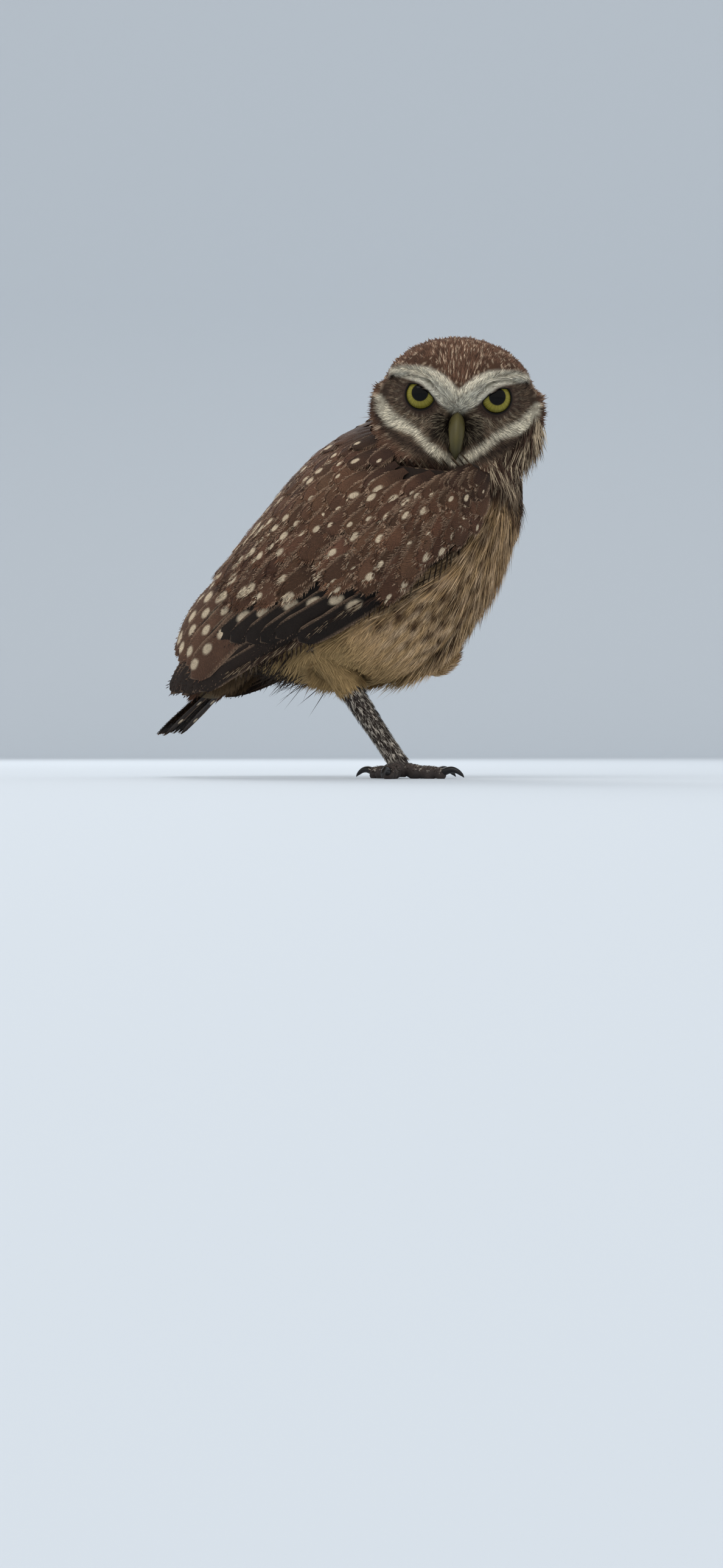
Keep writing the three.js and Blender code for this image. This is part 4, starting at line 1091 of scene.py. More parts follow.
def sow(density, seed):
    """Roots scattered by chance over the skin's cells, as many to a square millimetre as the density
    says."""
    draw = np.random.default_rng(seed)
    across = (np.roll(skin_points, -1, 1) - skin_points)[:-1]
    down = skin_points[1:] - skin_points[:-1]
    area = np.linalg.norm(np.cross(across, down), axis=-1)
    number = np.floor(area * density[:-1] + draw.random(area.shape)).astype(int)
    i, j = np.nonzero(number)
    times = number[i, j]
    row = np.repeat(i, times) + draw.random(times.sum())
    column = np.repeat(j, times) + draw.random(times.sum())
    return row, column


def coat(name, density, seed, slot, length, width, lift, blades, spread, turned=None, bent=0.0, **more):
    """A coat of tufts on the skin. length, width and lift are numbers or functions of the root's place.
    Where a way to turn is given, the tufts lie along it, bent by how the skin faces."""
    row, column = sow(density, seed)
    here, out = read_grid(skin_points, row, column), unit(read_grid(skin_normal, row, column))
    q = to_head(here)
    keep = (np.hypot(abs(q[:, 1]) - EYE_AT[1], q[:, 2] - EYE_AT[2]) > EYE_CLEAR) | (q[:, 0] < 4)
    row, column, here, out = row[keep], column[keep], here[keep], out[keep]
    way = lie(here) if turned is None else unit(turned + bent * out)
    length, width, lift = (v(here) if callable(v) else v for v in (length, width, lift))
    chances = np.random.default_rng(seed).uniform(0.85, 1.15, len(row))
    return tufts(name, here, out, way, skin_bake(row, column), length * chances, width, lift, blades, spread,
                 slot, seed, **more)


# Where on the skin each region of the coat grows, as masks over its grid.
open_skin = 1 - wing_cover
head_here, face_here = head_share(skin_points), face_share(skin_points)
body_here = open_skin * (1 - head_here)
low_here = ease(-skin_points[..., 0] - 0.5 * skin_points[..., 2], -30, -14)
rump_under = ease(-skin_points[..., 0], 34, 46) * ease(-skin_normal[..., 2], 0.1, 0.5)
collar_here = ease(skin_points[..., 2], 98, 108)
right_here = (skin_points[..., 1] < 1).astype(float)
left_here = 1 - right_here
head_grid = to_head(skin_points)
head_x, head_y, head_z = np.moveaxis(head_grid, -1, 0)
near_head = ease(-np.linalg.norm(head_grid, axis=-1), -47, -41)
disc_edge = np.exp(-((face_oval(head_grid) - 1.0) / 0.1) ** 2) * ease(-head_z, -10, 2) * ease(head_x, -8, 0)
nape = ease(-head_z, 6, 12) * ease(-head_x, -10, -2) * ease(skin_points[..., 2], 116, 122) * right_here
left_ruff = ease(head_y, 10, 20) * ease(-head_z, 0, 9) * ease(head_x, -18, -6)
left_ruff = left_ruff * ease(face_oval(head_grid), 0.86, 0.98) * ease(skin_points[..., 2], 120, 126)
belly_here = body_here * (1 - low_here) * (1 - collar_here)
raised_line = np.linspace([-46, 16.2, 51], [10, 26, 54], 12)
near_raised = np.linalg.norm(skin_points[:, :, None] - raised_line, axis=-1).min(-1)


def toward_left(p):
    """1 on the outer left of the neck, where the collar stands off in ragged locks."""
    return ease(p[:, 1], 4, 22) * ease(p[:, 2], 104, 118)


def ruff_paint(p):
    """Brown locks among pale ones, by chance."""
    cell = np.floor(p / 1.9)
    pale = (chance(cell[:, 0], cell[:, 1] + 5 * cell[:, 2], 6) < 0.42)[:, None]
    return np.where(pale, linear(SPOT) * 0.95, linear(COLLAR) * 1.2)


def black_tips(p):
    """Nearly black, for the loose dark hairs under the tail."""
    return np.broadcast_to(linear(HAIR_BLACK), p.shape)


# Ways that some of the tufts lie: down and out to the left over the raised foot, outwards over the wing's
# edge, down from the nape over the shoulders, and straight down.
DRAPED = TRUNK_WAY + np.array([0.25, 0.45, -0.55])
OVER_WING = TRUNK_WAY + np.array([0, 0, 0.35])
DOWN_BACK, SPREAD_ASIDE = np.array([-0.8, 0, -0.6]), np.array([0, 0.3, 0])
HANGING = np.array([-0.2, 0.15, -1.0])

# Each coat: its name, tufts to a square millimetre, seed and slot, then how long and wide its blades are,
# how far they rise, how many there are to a tuft and how far they spread.
coat("belly_right_coat", 1.5 * belly_here * right_here, 101, "belly_feathers", 8, 0.45, 0.34, 4, 0.2,
     vary=(0.6, 1.35))
coat("belly_left_coat", 1.3 * belly_here * left_here, 102, "belly_feathers", 8.5, 0.5, 0.28, 4, 0.2)
coat("vent_coat", 1.15 * body_here * low_here, 103, "belly_feathers", 7.5, 0.42, 0.16, 4, 0.25)
coat("neck_coat", 1.3 * body_here * (1 - low_here) * collar_here, 104, "neck_feathers",
     lambda p: 7.5 + 5 * toward_left(p), 0.45, lambda p: 0.3 + 0.3 * toward_left(p), 4, 0.22)
coat("flank_coat", 1.8 * edge_band, 105, "belly_feathers", 14, 0.42, 0.6, 4, 0.25, turned=OVER_WING)
coat("shoulder_coat", 1.6 * wing_cover * near_head * (1 - head_here), 115, "neck_feathers", 11, 0.42, 0.5, 4,
     0.25, turned=DOWN_BACK, bent=SPREAD_ASIDE)
coat("rump_coat", 1.0 * rump_under, 109, "belly_feathers", 12, 0.42, 0.3, 3, 0.22)
coat("raised_leg_coat", 1.5 * (near_raised < 13), 110, "belly_feathers", 11, 0.42, 0.42, 4, 0.25)
coat("drape_coat", 0.9 * (near_raised > 11) * (near_raised < 30) * left_here * belly_here, 114,
     "belly_feathers", 15, 0.42, 0.5, 4, 0.25, turned=DRAPED)
coat("crown_coat", 2.6 * head_here * (1 - face_here), 106, "head_feathers", 4.8, 0.38, 0.36, 3, 0.2)
coat("ruff_coat", 1.2 * disc_edge, 107, "neck_feathers", 5, 0.38, 0.3, 4, 0.25)
coat("nape_coat", 1.4 * nape, 113, "neck_feathers", 12, 0.42, 0.4, 4, 0.25, turned=DOWN_BACK,
     bent=SPREAD_ASIDE)
coat("left_ruff_coat", 1.5 * left_ruff, 111, "neck_feathers", 14, 0.42, 0.42, 4, 0.3, turned=HANGING,
     paint=ruff_paint)
coat("face_coat", 4.6 * face_here * head_here, 108, "head_feathers", 3.6, 0.27, 0.26, 2, 0.14,
     vary=(0.4, 1.75))
coat("vent_hairs", 0.07 * rump_under, 112, "belly_feathers", 20, 0.32, 0.56, 3, 0.12, paint=black_tips)

# Eyes: glassy balls with a bulging clear front, a yellow iris and a large black pupil, set deep under the
# brows and looking a little up from under them.
EYE_RADIUS = 8
EYE_ASIDE = 0.16
EYE_GAZE_UP = 0.1
IRIS_HALF = 5.9
PUPIL_HALF = 3.35
CORNEA_RISE = 0.35
IRIS_DEEP, IRIS_LIGHT = (118, 110, 42), (154, 144, 62)
PUPIL_BLACK = (6, 5, 5)
BEHIND_IRIS = 9.0


def gloss_material(name, roughness, coat_weight, bump_size, specular=0.5):
    """A smooth hard surface: its painted colour, a little noise, and a clear coat."""
    material, nodes, links, shader = new_material(name)
    varied = add_variation(nodes, links, point_colour(nodes).outputs["Color"], 300, 1400, 0.18)
    links.new(varied.outputs["Color"], shader.inputs["Base Color"])
    add_bump(nodes, links, shader, varied.outputs["Height"], 0.2, bump_size)
    shader.inputs["Roughness"].default_value = roughness
    shader.inputs["Specular IOR Level"].default_value = specular
    shader.inputs["Coat Weight"].default_value = coat_weight
    shader.inputs["Coat Roughness"].default_value = 0.05
    return material


eye_finish = gloss_material("wet_eye", 0.16, 0.08, 0.00002, 0.08)


def eye_frame(hand):
    """The middle of an eye and three ways from it, in the head's frame: out along its gaze, outwards and
    up."""
    out = unit(np.array([1, hand * EYE_ASIDE, 0]))
    aside = unit(np.cross(np.array([0, 0, 1.0]), out)) * hand
    return EYE_AT * np.array([1, hand, 1]), out, aside, np.array([0, 0, 1.0])


def iris_colour(from_axis, turn):
    """Black pupil, yellow iris with fine rays, darker at both rims, and a black outer ring."""
    ray = 0.5 + 0.5 * np.sin(turn * 53 + 2 * np.sin(turn * 17))
    iris = linear(IRIS_DEEP) + (linear(IRIS_LIGHT) - linear(IRIS_DEEP)) * (ray * 0.6)[..., None]
    rim = ease(from_axis, IRIS_HALF - 1.3, IRIS_HALF - 0.1)[..., None]
    iris = iris * (1 - 0.45 * rim)
    iris = iris * (0.8 + 0.2 * ease(from_axis, PUPIL_HALF, PUPIL_HALF + 0.6))[..., None]
    black = linear(PUPIL_BLACK)
    colour = black + (iris - black) * ease(from_axis, PUPIL_HALF - 0.12, PUPIL_HALF + 0.12)[..., None]
    return colour + (black - colour) * ease(from_axis, IRIS_HALF - 0.1, IRIS_HALF + 0.15)[..., None]


for hand, side_name in ((1, "left"), (-1, "right")):
    middle, out, aside, up = eye_frame(hand)
    gaze = unit(out + EYE_GAZE_UP * up)
    gaze_up = unit(up - gaze * (up * gaze).sum())
    from_gaze = np.linspace(0.012, math.pi - 0.012, 110)[:, None]
    turn = np.linspace(0, 2 * math.pi, 128, endpoint=False)[None]
    radius = EYE_RADIUS + CORNEA_RISE * np.exp(-(from_gaze / 0.5) ** 2) + 0 * turn
    ball = (gaze * (radius * np.cos(from_gaze))[..., None]
            + aside * (radius * np.sin(from_gaze) * np.cos(turn))[..., None]
            + gaze_up * (radius * np.sin(from_gaze) * np.sin(turn))[..., None])
    eye_points, eye_faces, eye_uv = closed_tube(from_head(middle + ball))
    from_axis = np.where(from_gaze < math.pi / 2, radius * np.sin(from_gaze), BEHIND_IRIS)
    eye_tint = np.concatenate([iris_colour(from_axis, turn + 0 * from_gaze).reshape(-1, 3), np.zeros((2, 3))])
    eye = put(f"{side_name}_eyeball", eye_points, eye_faces, eye_finish, tint=eye_tint,
              uvs={"OFBake": eye_uv})
    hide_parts("eye_" + side_name)

# Lids: a dark bare rim round each eye, its opening round below and cut off above by the brow, which slants
# down towards the bill and gives the bird its frown.
LID_OUTER = 9.2
LID_THICK = 0.5
LID_TUCK = 4.5
LID_DARK = (18, 15, 13)
LID_BARE = 0.6
LID_TUFTS = 1700
LID_RINGS, LID_ROUND = 14, 120


def opening(turn):
    """How far the lid's opening reaches from the eye's middle, by angle from straight out: a circle, or
    less where the brow's line crosses it. The line is nearly level above the outer half and bends down over
    the inner half."""
    reach = np.full(turn.shape, IRIS_HALF - 0.15)
    for _ in range(12):
        outwards, height = reach * np.cos(turn), reach * np.sin(turn)
        brow_line = 4.1 - 0.17 * np.maximum(0, 1.8 - outwards) ** 1.75
        reach = np.where(height > brow_line, reach * 0.94, reach)
    return reach


lid_finish = gloss_material("bare_lid", 0.7, 0.0, 0.00012, 0.12)
for hand, side_name in ((1, "left"), (-1, "right")):
    middle, out, aside, up = eye_frame(hand)
    turn = np.linspace(0, 2 * math.pi, LID_ROUND, endpoint=False)[None]
    share = np.linspace(0, 1, LID_RINGS)[:, None]
    inner = opening(turn)
    inner = sum(np.roll(inner, k, 1) for k in range(-2, 3)) / 5
    above = ease(np.sin(turn) - 0.35 * np.cos(turn), 0.0, 0.7)
    outer = LID_OUTER + 0 * turn
    from_axis = inner + (outer - inner) * share
    on_ball = np.sqrt(np.maximum((EYE_RADIUS + 0.35) ** 2 - from_axis ** 2, 4))
    fold = LID_THICK * (1 + 1.3 * above) * np.sin(np.pi * np.minimum(share * 1.15 + 0.12, 1)) ** 0.7
    height = on_ball + fold + 2.0 * share * (1 - 0.3 * above)
    rim_points, tuck = (
        middle + out * far + aside * (wide * np.cos(turn))[..., None] + up * (wide * np.sin(turn))[..., None]
        for far, wide in ((height[..., None], from_axis), (LID_TUCK, inner - 0.3)))
    rings = np.concatenate([tuck, rim_points])
    lid_faces, lid_grid = grid_faces(LID_RINGS + 1, LID_ROUND)
    lid_uv = 0.01 + 0.98 * lid_grid[..., ::-1] / np.array([LID_ROUND, LID_RINGS])
    feathered = ease(from_axis - inner, LID_BARE - 0.2, LID_BARE + 0.2)[..., None]
    dark = linear(LID_DARK) * np.ones(rim_points.shape)
    # Where the lid is feathered it takes the face's colours darkened, as painted shade under the lid's
    # feathers.
    rim_tint = dark + (plumage(from_head(rim_points)) * 0.75 - dark) * feathered
    rim_tint = np.concatenate([dark[:1], rim_tint])
    order = lid_faces[:, ::-1] if hand > 0 else lid_faces
    lid_uv = lid_uv[:, ::-1] if hand > 0 else lid_uv
    put(f"{side_name}_lid", from_head(rings).reshape(-1, 3), order, lid_finish,
        tint=rim_tint.reshape(-1, 3), uvs={"OFBake": lid_uv})
    draw = np.random.default_rng(40 + hand)
    row, column = draw.integers(1, LID_RINGS, LID_TUFTS), draw.integers(0, LID_ROUND, LID_TUFTS)
    keep = from_axis[row, column] - inner[0, column] > LID_BARE
    row, column = row[keep], column[keep]
    at = rim_points[row, column]
    normal = unit(out * 0.8 + unit(at - middle) * 0.6)
    radial = unit(at - middle - out * ((at - middle) @ out)[:, None])
    upward = ease(radial @ up, 0.1, 0.6)[:, None]
    way = radial * (1 - upward) + (aside * 1.0 + up * 0.1 + 0.15 * radial) * upward
    tufts(f"{side_name}_lid_feathers", from_head(at), normal @ head_matrix.T, way @ head_matrix.T,
          grid_bake(column, LID_ROUND, row, LID_RINGS), 2.6, 0.25, 0.22, 2, 0.12, "head_feathers", 44 + hand,
          vary=(0.6, 1.35), shade=(0.7, 0.95, 1.1))

# Brows: stiff white locks from above the bill out over each eye, longer than the face's feathers, so that
# they shade the eye's upper edge.
BROW_LOCKS = 900


def brow_roots(hand, count, seed):
    """Places along the brow's line, scattered across it, in the face's plane, and how far out they are as a
    share."""
    draw = np.random.default_rng(seed)
    t = draw.random(count)
    line = along(np.column_stack([BROW_LINE, BROW_HALF]), 1 - t)
    y = hand * (line[:, 0] + draw.normal(0, 0.3, count))
    z = line[:, 1] + line[:, 2] * draw.uniform(-0.85, 0.75, count)
    return y, z, t


face_flat = to_head(skin_points).reshape(-1, 3)
face_normals = (skin_normal @ head_matrix).reshape(-1, 3)
front = face_flat[:, 0] > 2
face_flat, face_normals = face_flat[front], face_normals[front]
face_index = np.flatnonzero(front)


def on_face(y, z):
    """The skin's point, normal and unwrap place that lie nearest to a place in the face's plane."""
    square = (face_flat[None, :, 1] - y[:, None]) ** 2 + (face_flat[None, :, 2] - z[:, None]) ** 2
    nearest = square.argmin(1)
    index = face_index[nearest]
    return face_flat[nearest], face_normals[nearest], skin_bake(index // SKIN_AROUND, index % SKIN_AROUND)


def face_tufts(name, y, z, way, **looks):
    """Tufts rooted on the face at places in its plane, along a way given in the head's frame."""
    at, out, bake = on_face(y, z)
    return tufts(name, from_head(at), out @ head_matrix.T, unit(way) @ head_matrix.T, bake, **looks)


for hand, side_name in ((1, "left"), (-1, "right")):
    y, z, t = brow_roots(hand, BROW_LOCKS, 60 + hand)
    way = np.stack([0.2 + 0 * y, hand * (0.35 + 1.0 * t), 0.9 - 1.1 * t], -1)
    face_tufts(f"{side_name}_brow_locks", y, z, way, length=4.4, width=0.26, lift=0.3, blades=3, spread=0.16,
               slot="head_feathers", seed=70 + hand, shade=(0.62, 0.92, 1.08), vary=(0.45, 1.35))

# Bristles: stiff fine hairs, some pale and some dark, that spring from round the root of the bill and lie
# out over the face.
BRISTLES = 560
BRISTLE_PALE = (132, 120, 100)
draw = np.random.default_rng(91)
turn = draw.uniform(-0.15 * math.pi, 1.15 * math.pi, BRISTLES)
near = draw.uniform(2.6, 6.4, BRISTLES)
y, z = near * np.cos(turn), -7.5 - near * np.sin(turn) * 1.1
way = np.stack([0.35 + 0 * y, np.cos(turn) * 1.0, -np.sin(turn) * 0.8 - 0.25], -1)


def bristle_paint(p):
    """Pale hairs among dark ones, by chance."""
    cell = np.floor(p * 1.7)
    pale = (chance(cell[:, 0], cell[:, 1] + 7 * cell[:, 2], 5) < 0.42)[:, None]
    return np.where(pale, linear(BRISTLE_PALE), linear(HAIR_BLACK))


face_tufts("bill_bristles", y, z, way, length=6.0, width=0.22, lift=0.42, blades=2, spread=0.2,
           slot="head_feathers", seed=92, paint=bristle_paint, shade=(0.8, 1, 1))

# Bill: horn, in two halves that meet in a curved gape: the upper hooked over the lower, with a nostril each
# side.
UPPER_OVER = [(14, -3), (21.5, -3.6), (26.5, -6.5), (29.6, -12), (29.6, -17), (27.6, -21.6)]
UPPER_UNDER = [(13, -13), (18.5, -13.5), (22.5, -14.5), (25, -16.3), (26.4, -18.6), (27.3, -21.9)]
UPPER_HALF = [3, 3.2, 3.1, 2.6, 1.8, 0.35]
LOWER_OVER = [(12, -14), (18, -14.3), (22, -15.3), (24.4, -17.2), (25.4, -18.9)]
LOWER_UNDER = [(11, -19), (17, -19.2), (21, -19.4), (23.8, -19.6), (25.3, -19.3)]
LOWER_HALF = [2.7, 2.7, 2.4, 1.7, 0.4]
NOSTRIL_AT = np.array([22.6, 2.8, -8.0])
NOSTRIL_HALF = [1.1, 1.4, 0.8]
NOSTRIL_DEEP = 0.9
HORN_PALE = (76, 69, 36)
HORN_DARK = (40, 37, 24)
horn_finish = gloss_material("bill_horn", 0.45, 0.0, 0.00008, 0.22)


def bill_half(over, under, half, rows=60, columns=44):
    """Half a bill: rings from root to tip, each an oval between its upper and lower line, drawn in at the
    ridge."""
    s = np.linspace(0, 1, rows)
    top, bottom, wide = along(over, s), along(under, s), along(half, s)[:, 0]
    a = np.linspace(0, 2 * math.pi, columns, endpoint=False)[None]
    middle, rise = (top + bottom) / 2, (top - bottom) / 2
    height = np.sin(a)
    side = np.cos(a) * (1 - 0.16 * np.maximum(height, 0) ** 2)
    flat = middle[:, None] + rise[:, None] * height[..., None]
    return np.stack([flat[..., 0], wide[:, None] * side, flat[..., 1]], -1)


for name, over_line, under_line, half_line in (("upper", UPPER_OVER, UPPER_UNDER, UPPER_HALF),
                                               ("lower", LOWER_OVER, LOWER_UNDER, LOWER_HALF)):
    rings = bill_half(over_line, under_line, half_line)
    one_side = rings * [1, 0, 1] + np.abs(rings) * [0, 1, 0]
    nostril = np.exp(-np.linalg.norm((one_side - NOSTRIL_AT) / NOSTRIL_HALF, axis=-1) ** 2)
    rings = rings - np.sign(rings) * [0, 1, 0] * (NOSTRIL_DEEP * nostril)[..., None]
    bill_points, bill_faces, bill_uv = closed_tube(rings)
    tip = ease(-bill_points[:, 2], 13, 21.5)[:, None]
    tint = linear(HORN_PALE) + (linear(HORN_DARK) - linear(HORN_PALE)) * (0.15 + 0.6 * tip)
    ridge = ease(-abs(bill_points[:, 1]), -1.0, -0.2)[:, None]
    tint = tint * (1 + 0.25 * ridge)
    # The nostrils are darkened nearly to black, as painted shade in their openings.
    tint = tint * (1 - 0.9 * np.append(nostril.ravel(), [0, 0]))[:, None]
    bill = put(f"{name}_bill_horn", from_head(bill_points), bill_faces, horn_finish, tint=tint,
               uvs={"OFBake": bill_uv})
    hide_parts("bill_" + name)

# Standing leg: a lean shank that comes out of the belly and runs down and forward to the foot, covered with
# short stiff bristles instead of feathers.
SHANK = [(-29, -15, 56), (-22, -11, 45), (-14, -7, 30), (-6.5, -3, 17), (-0.5, 0, 7)]
SHANK_HALF = [7.2, 5.4, 4.2, 3.6, 3.7]
SHANK_BROWN = (62, 51, 45)
SHANK_DARK, SHANK_PALE = (40, 32, 28), (200, 190, 176)
ROUND_END = 0.2


def bar_rings(route, half, rows=60, columns=40, rounded=False):
    """A round bar as rings along a route, its half width read along the way, its far end rounded off or
    not."""
    s = np.linspace(0, 1, rows)
    middle, r = along(route, s), along(half, s)[:, 0]
    if rounded:
        r = r * np.sqrt(np.clip(1 - (np.maximum(0, s - 1 + ROUND_END) / ROUND_END) ** 2, 0.02, 1))
    ahead = unit(np.gradient(middle, axis=0))
    reference = np.array([0, 1.0, 0]) if abs(ahead[:, 1]).max() < 0.8 else np.array([1.0, 0, 0])
    side = unit(reference - ahead * (ahead @ reference)[:, None])
    up = np.cross(ahead, side)
    a = np.linspace(0, 2 * math.pi, columns, endpoint=False)[None, :, None]
    out = np.cos(a) * side[:, None] + np.sin(a) * up[:, None]
    return middle[:, None] + out * r[:, None, None], out, ahead


def scale_material(name, roughness, size):
    """Bare bristly skin of legs and toes: painted colour with noise, over small pebbled scales in the
    bump."""
    material, nodes, links, shader = new_material(name)
    place = nodes.new("ShaderNodeTexCoord")
    pebble = nodes.new("ShaderNodeTexVoronoi")
    pebble.feature = "DISTANCE_TO_EDGE"
    pebble.inputs["Scale"].default_value = size
    links.new(place.outputs["Object"], pebble.inputs["Vector"])
    varied = add_variation(nodes, links, point_colour(nodes).outputs["Color"], 220, 1200, 0.5)
    links.new(varied.outputs["Color"], shader.inputs["Base Color"])
    add_bump(nodes, links, shader, pebble.outputs["Distance"], 0.6, 0.0003)
    shader.inputs["Roughness"].default_value = roughness
    return material


scale_finish = scale_material("scaly_skin", 0.7, 900)


def shank_paint(p):
    """Dark and pale bristles, by chance."""
    cell = np.floor(p * 1.6)
    pale = chance(cell[:, 0], cell[:, 1] + 9 * cell[:, 2], 3)[:, None]
    return linear(SHANK_DARK) + (linear(SHANK_PALE) - linear(SHANK_DARK)) * ease(pale, 0.62, 0.75)


def bristly_bar(name, route, half, slot, tuft_count, seed, node):
    """A bare bar of skin, and the bristles that lie down along it as a piece of its own."""
    rings, out, ahead = bar_rings(route, half)
    points, faces, uv = closed_tube(rings)
    skin_tint = linear(SHANK_BROWN) * (1 + 0.25 * mottle(points, 3, seed))[:, None]
    bar = put(name, points, faces, scale_finish, tint=skin_tint, uvs={"OFBake": uv})
    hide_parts(node)
    draw = np.random.default_rng(seed)
    rows, columns = rings.shape[:2]
    row, column = draw.integers(1, rows - 1, tuft_count), draw.integers(0, columns, tuft_count)
    tufts(name + "_bristles", rings[row, column], out[row, column], ahead[row],
          grid_bake(column, columns, row, rows), 3.8, 0.2, 0.42, 2, 0.25, slot, seed + 1, paint=shank_paint,
          shade=(0.8, 1, 1.1), sway=0.22)
    return rings, out, ahead


def thigh_feathers(name, rings, out, ahead, last, tuft_count, seed, long=8.5):
    """Buff feathers of the belly that run down over a leg or toe, as far as a row of its rings."""
    draw = np.random.default_rng(seed)
    rows, columns = rings.shape[:2]
    row, column = draw.integers(0, last, tuft_count), draw.integers(0, columns, tuft_count)
    tufts(name, rings[row, column], out[row, column], ahead[row], grid_bake(column, columns, row, rows), long,
          0.42, 0.3, 4, 0.22, "belly_feathers", seed)


shank_bar = bristly_bar("right_shank", SHANK, SHANK_HALF, "leg_bristles", 2600, 301, "leg_right")
thigh_feathers("right_thigh_feathers", *shank_bar, 20, 900, 305)

# Standing foot: four toes spread flat on the ground from a knuckle, padded below and scaly above, pressed
# flat on the floor, each with a curved black claw.
TOES = {"hind": (172, 14), "inner": (58, 19), "middle": (4, 21), "outer": (-76, 18)}
TOE_LEVEL = 2.05
TOE_LIFT = [(0, 1.8), (0.2, 1.6), (0.36, 0.7), (0.5, 0.6), (0.66, 0.2), (0.8, 0.4), (0.92, 0), (1, 0.6)]
TOE_HALF = [3.2, 2.6, 2.9, 2.3, 2.8, 2.1, 2.6, 1.8]
CLAW_LINE = [(-1.6, 0.4), (2, 1.6), (4.8, 1.2), (7, -0.2), (8.2, -1.45)]
CLAW_HALF = [1.6, 1.45, 1.1, 0.7, 0.12]
TOE_BROWN = (56, 46, 41)
CLAW_BLACK = (22, 20, 20)
KNUCKLE, KNUCKLE_HALF = [(-0.6, 0, 8.2), (-0.2, 0, 5), (0.2, 0, 2.6), (0.2, 0, 0.6)], [3.6, 4.6, 4.4, 2.6]
SCUTE_PITCH = 1.7
SCUTE_STEP = 0.42
TOE_BRISTLES = 420
UPWARDS = np.array([0, 0, 1.0])
claw_finish = gloss_material("claw_horn", 0.32, 0.0, 0.00005, 0.3)


def joined(parts):
    """Several closed tubes as one mesh: points, faces, and the unwraps side by side."""
    points, faces, uvs, shift = [], [], [], 0
    for k, (p, f, uv) in enumerate(parts):
        points.append(p)
        faces.append(f + shift)
        uvs.append((uv + [k, 0]) / [len(parts), 1])
        shift += len(p)
    return np.concatenate(points), np.concatenate(faces), np.concatenate(uvs)


def toe_tube(route, half, above):
    """A toe as a tube with a row of scutes across its upper side: each swells and ends in a small step.
    Also how light it is: painted shade, darkest in the grooves between the scutes and on the soles."""
    rings, out, ahead = bar_rings(route, half, rows=110, columns=32, rounded=True)
    middle = rings.mean(1)
    run = np.append(0, np.linalg.norm(np.diff(middle, axis=0), axis=-1).cumsum())
    step = (run / SCUTE_PITCH) % 1
    upper = ease((out * above).sum(-1), 0.1, 0.7)
    light = 0.75 + 0.6 * upper * ease(step, 0.05, 0.5)[:, None]
    return closed_tube(rings + out * (SCUTE_STEP * (step ** 1.5)[:, None] * upper)[..., None]), light.ravel()


def toe_route(turn, line, start=0.0, stretch=1.0):
    """A route over the floor in the way a toe is turned, by its line: how far out, and how high above the
    sole."""
    heading = np.array([math.cos(math.radians(turn)), math.sin(math.radians(turn)), 0])
    line = np.array(line)
    return heading * (start + line[:, :1] * stretch) + UPWARDS * (TOE_LEVEL + line[:, 1:])


def claw_horn(name, node, route, half, rows, columns):
    """A claw as a tube along its route, drawn to a point, in place of the model's own."""
    points, faces, uv = closed_tube(bar_rings(route, half, rows, columns)[0])
    claw = put(name, points, faces, claw_finish,
               tint=np.broadcast_to(linear(CLAW_BLACK), points.shape), uvs={"OFBake": uv})
    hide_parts(node)


def toes_as_one(name, node, parts, lights, seed):
    """A foot's toes as one mesh, with nothing below the floor, in place of the model's own foot."""
    points, faces, uv = joined(parts)
    points[:, 2] = np.maximum(points[:, 2], 0)
    # Painted shade darkens the toes' brown, most in the grooves, on the soles and at the tubes' end points,
    # varied by mottle.
    light = np.concatenate(lights) * (1 + 0.3 * mottle(points, 2.5, seed))
    foot = put(name, points, faces, scale_finish, tint=linear(TOE_BROWN) * light[:, None],
               uvs={"OFBake": uv})
    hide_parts(node)


toe_parts, toe_lights = [], []
for toe, (turn, long) in TOES.items():
    tube, light = toe_tube(toe_route(turn, TOE_LIFT, stretch=long), TOE_HALF, UPWARDS)
    toe_parts.append(tube)
    toe_lights += [light, [0.6, 0.6]]
    claw_route = toe_route(turn, CLAW_LINE, start=long)
    claw_horn(f"right_{toe}_claw", "claw_right_" + toe, claw_route, CLAW_HALF, 48, 24)
knuckle = bar_rings(KNUCKLE, KNUCKLE_HALF, 30, 32)[0]
toe_parts.append(closed_tube(knuckle))
toe_lights.append(np.full(knuckle.shape[0] * knuckle.shape[1] + 2, 0.9))
toes_as_one("right_toes", "foot_right", toe_parts, toe_lights, 4)
draw = np.random.default_rng(330)
for toe, (turn, long) in TOES.items():
    rings, out, ahead = bar_rings(toe_route(turn, TOE_LIFT, stretch=long), TOE_HALF)
    row, column = draw.integers(4, 50, TOE_BRISTLES), draw.integers(0, 40, TOE_BRISTLES)
    top = out[row, column][:, 2] > 0.25
    row, column = row[top], column[top]
    tufts(f"{toe}_toe_bristles", rings[row, column], out[row, column], ahead[row],
          np.stack([column / 40, row / 60], -1), 1.9, 0.18, 0.5, 2, 0.3, "leg_bristles", 340 + turn % 7,
          paint=shank_paint, shade=(0.8, 1, 1.1), sway=0.3)

# Raised leg: drawn up into the belly's feathers on the left, its toes closed into a fist with the claws
# curled in.
FIST_AT = np.array([5.1, 24.7, 53.4])
FIST_AHEAD = np.array([0.814, -0.221, 0.537])
FIST_OUT = np.array([0.301, 0.732, -0.612])
FIST_ACROSS = np.cross(FIST_AHEAD, FIST_OUT)
FIST_SPACING = 3.9
FIST_TOE = [(-6, 0.5), (-1.5, 3), (3.5, 4.2), (6.5, 3)]
FIST_TOE_HALF = [2.6, 2.4, 2.2, 1.7]
FIST_CLAW, FIST_CLAW_HALF = [(6, 3.2), (8.6, 2.2), (9.8, 0), (9, -2.2)], [1.5, 1.3, 0.85, 0.12]
FIST_PLACES = (-1.5, -0.5, 0.5, 1.5)
RAISED_SHANK = [(-45.9, 16.2, 50.9), (-31, 21.9, 48.7), (-15.4, 24.1, 48.6), (0.5, 26.8, 49.6)]
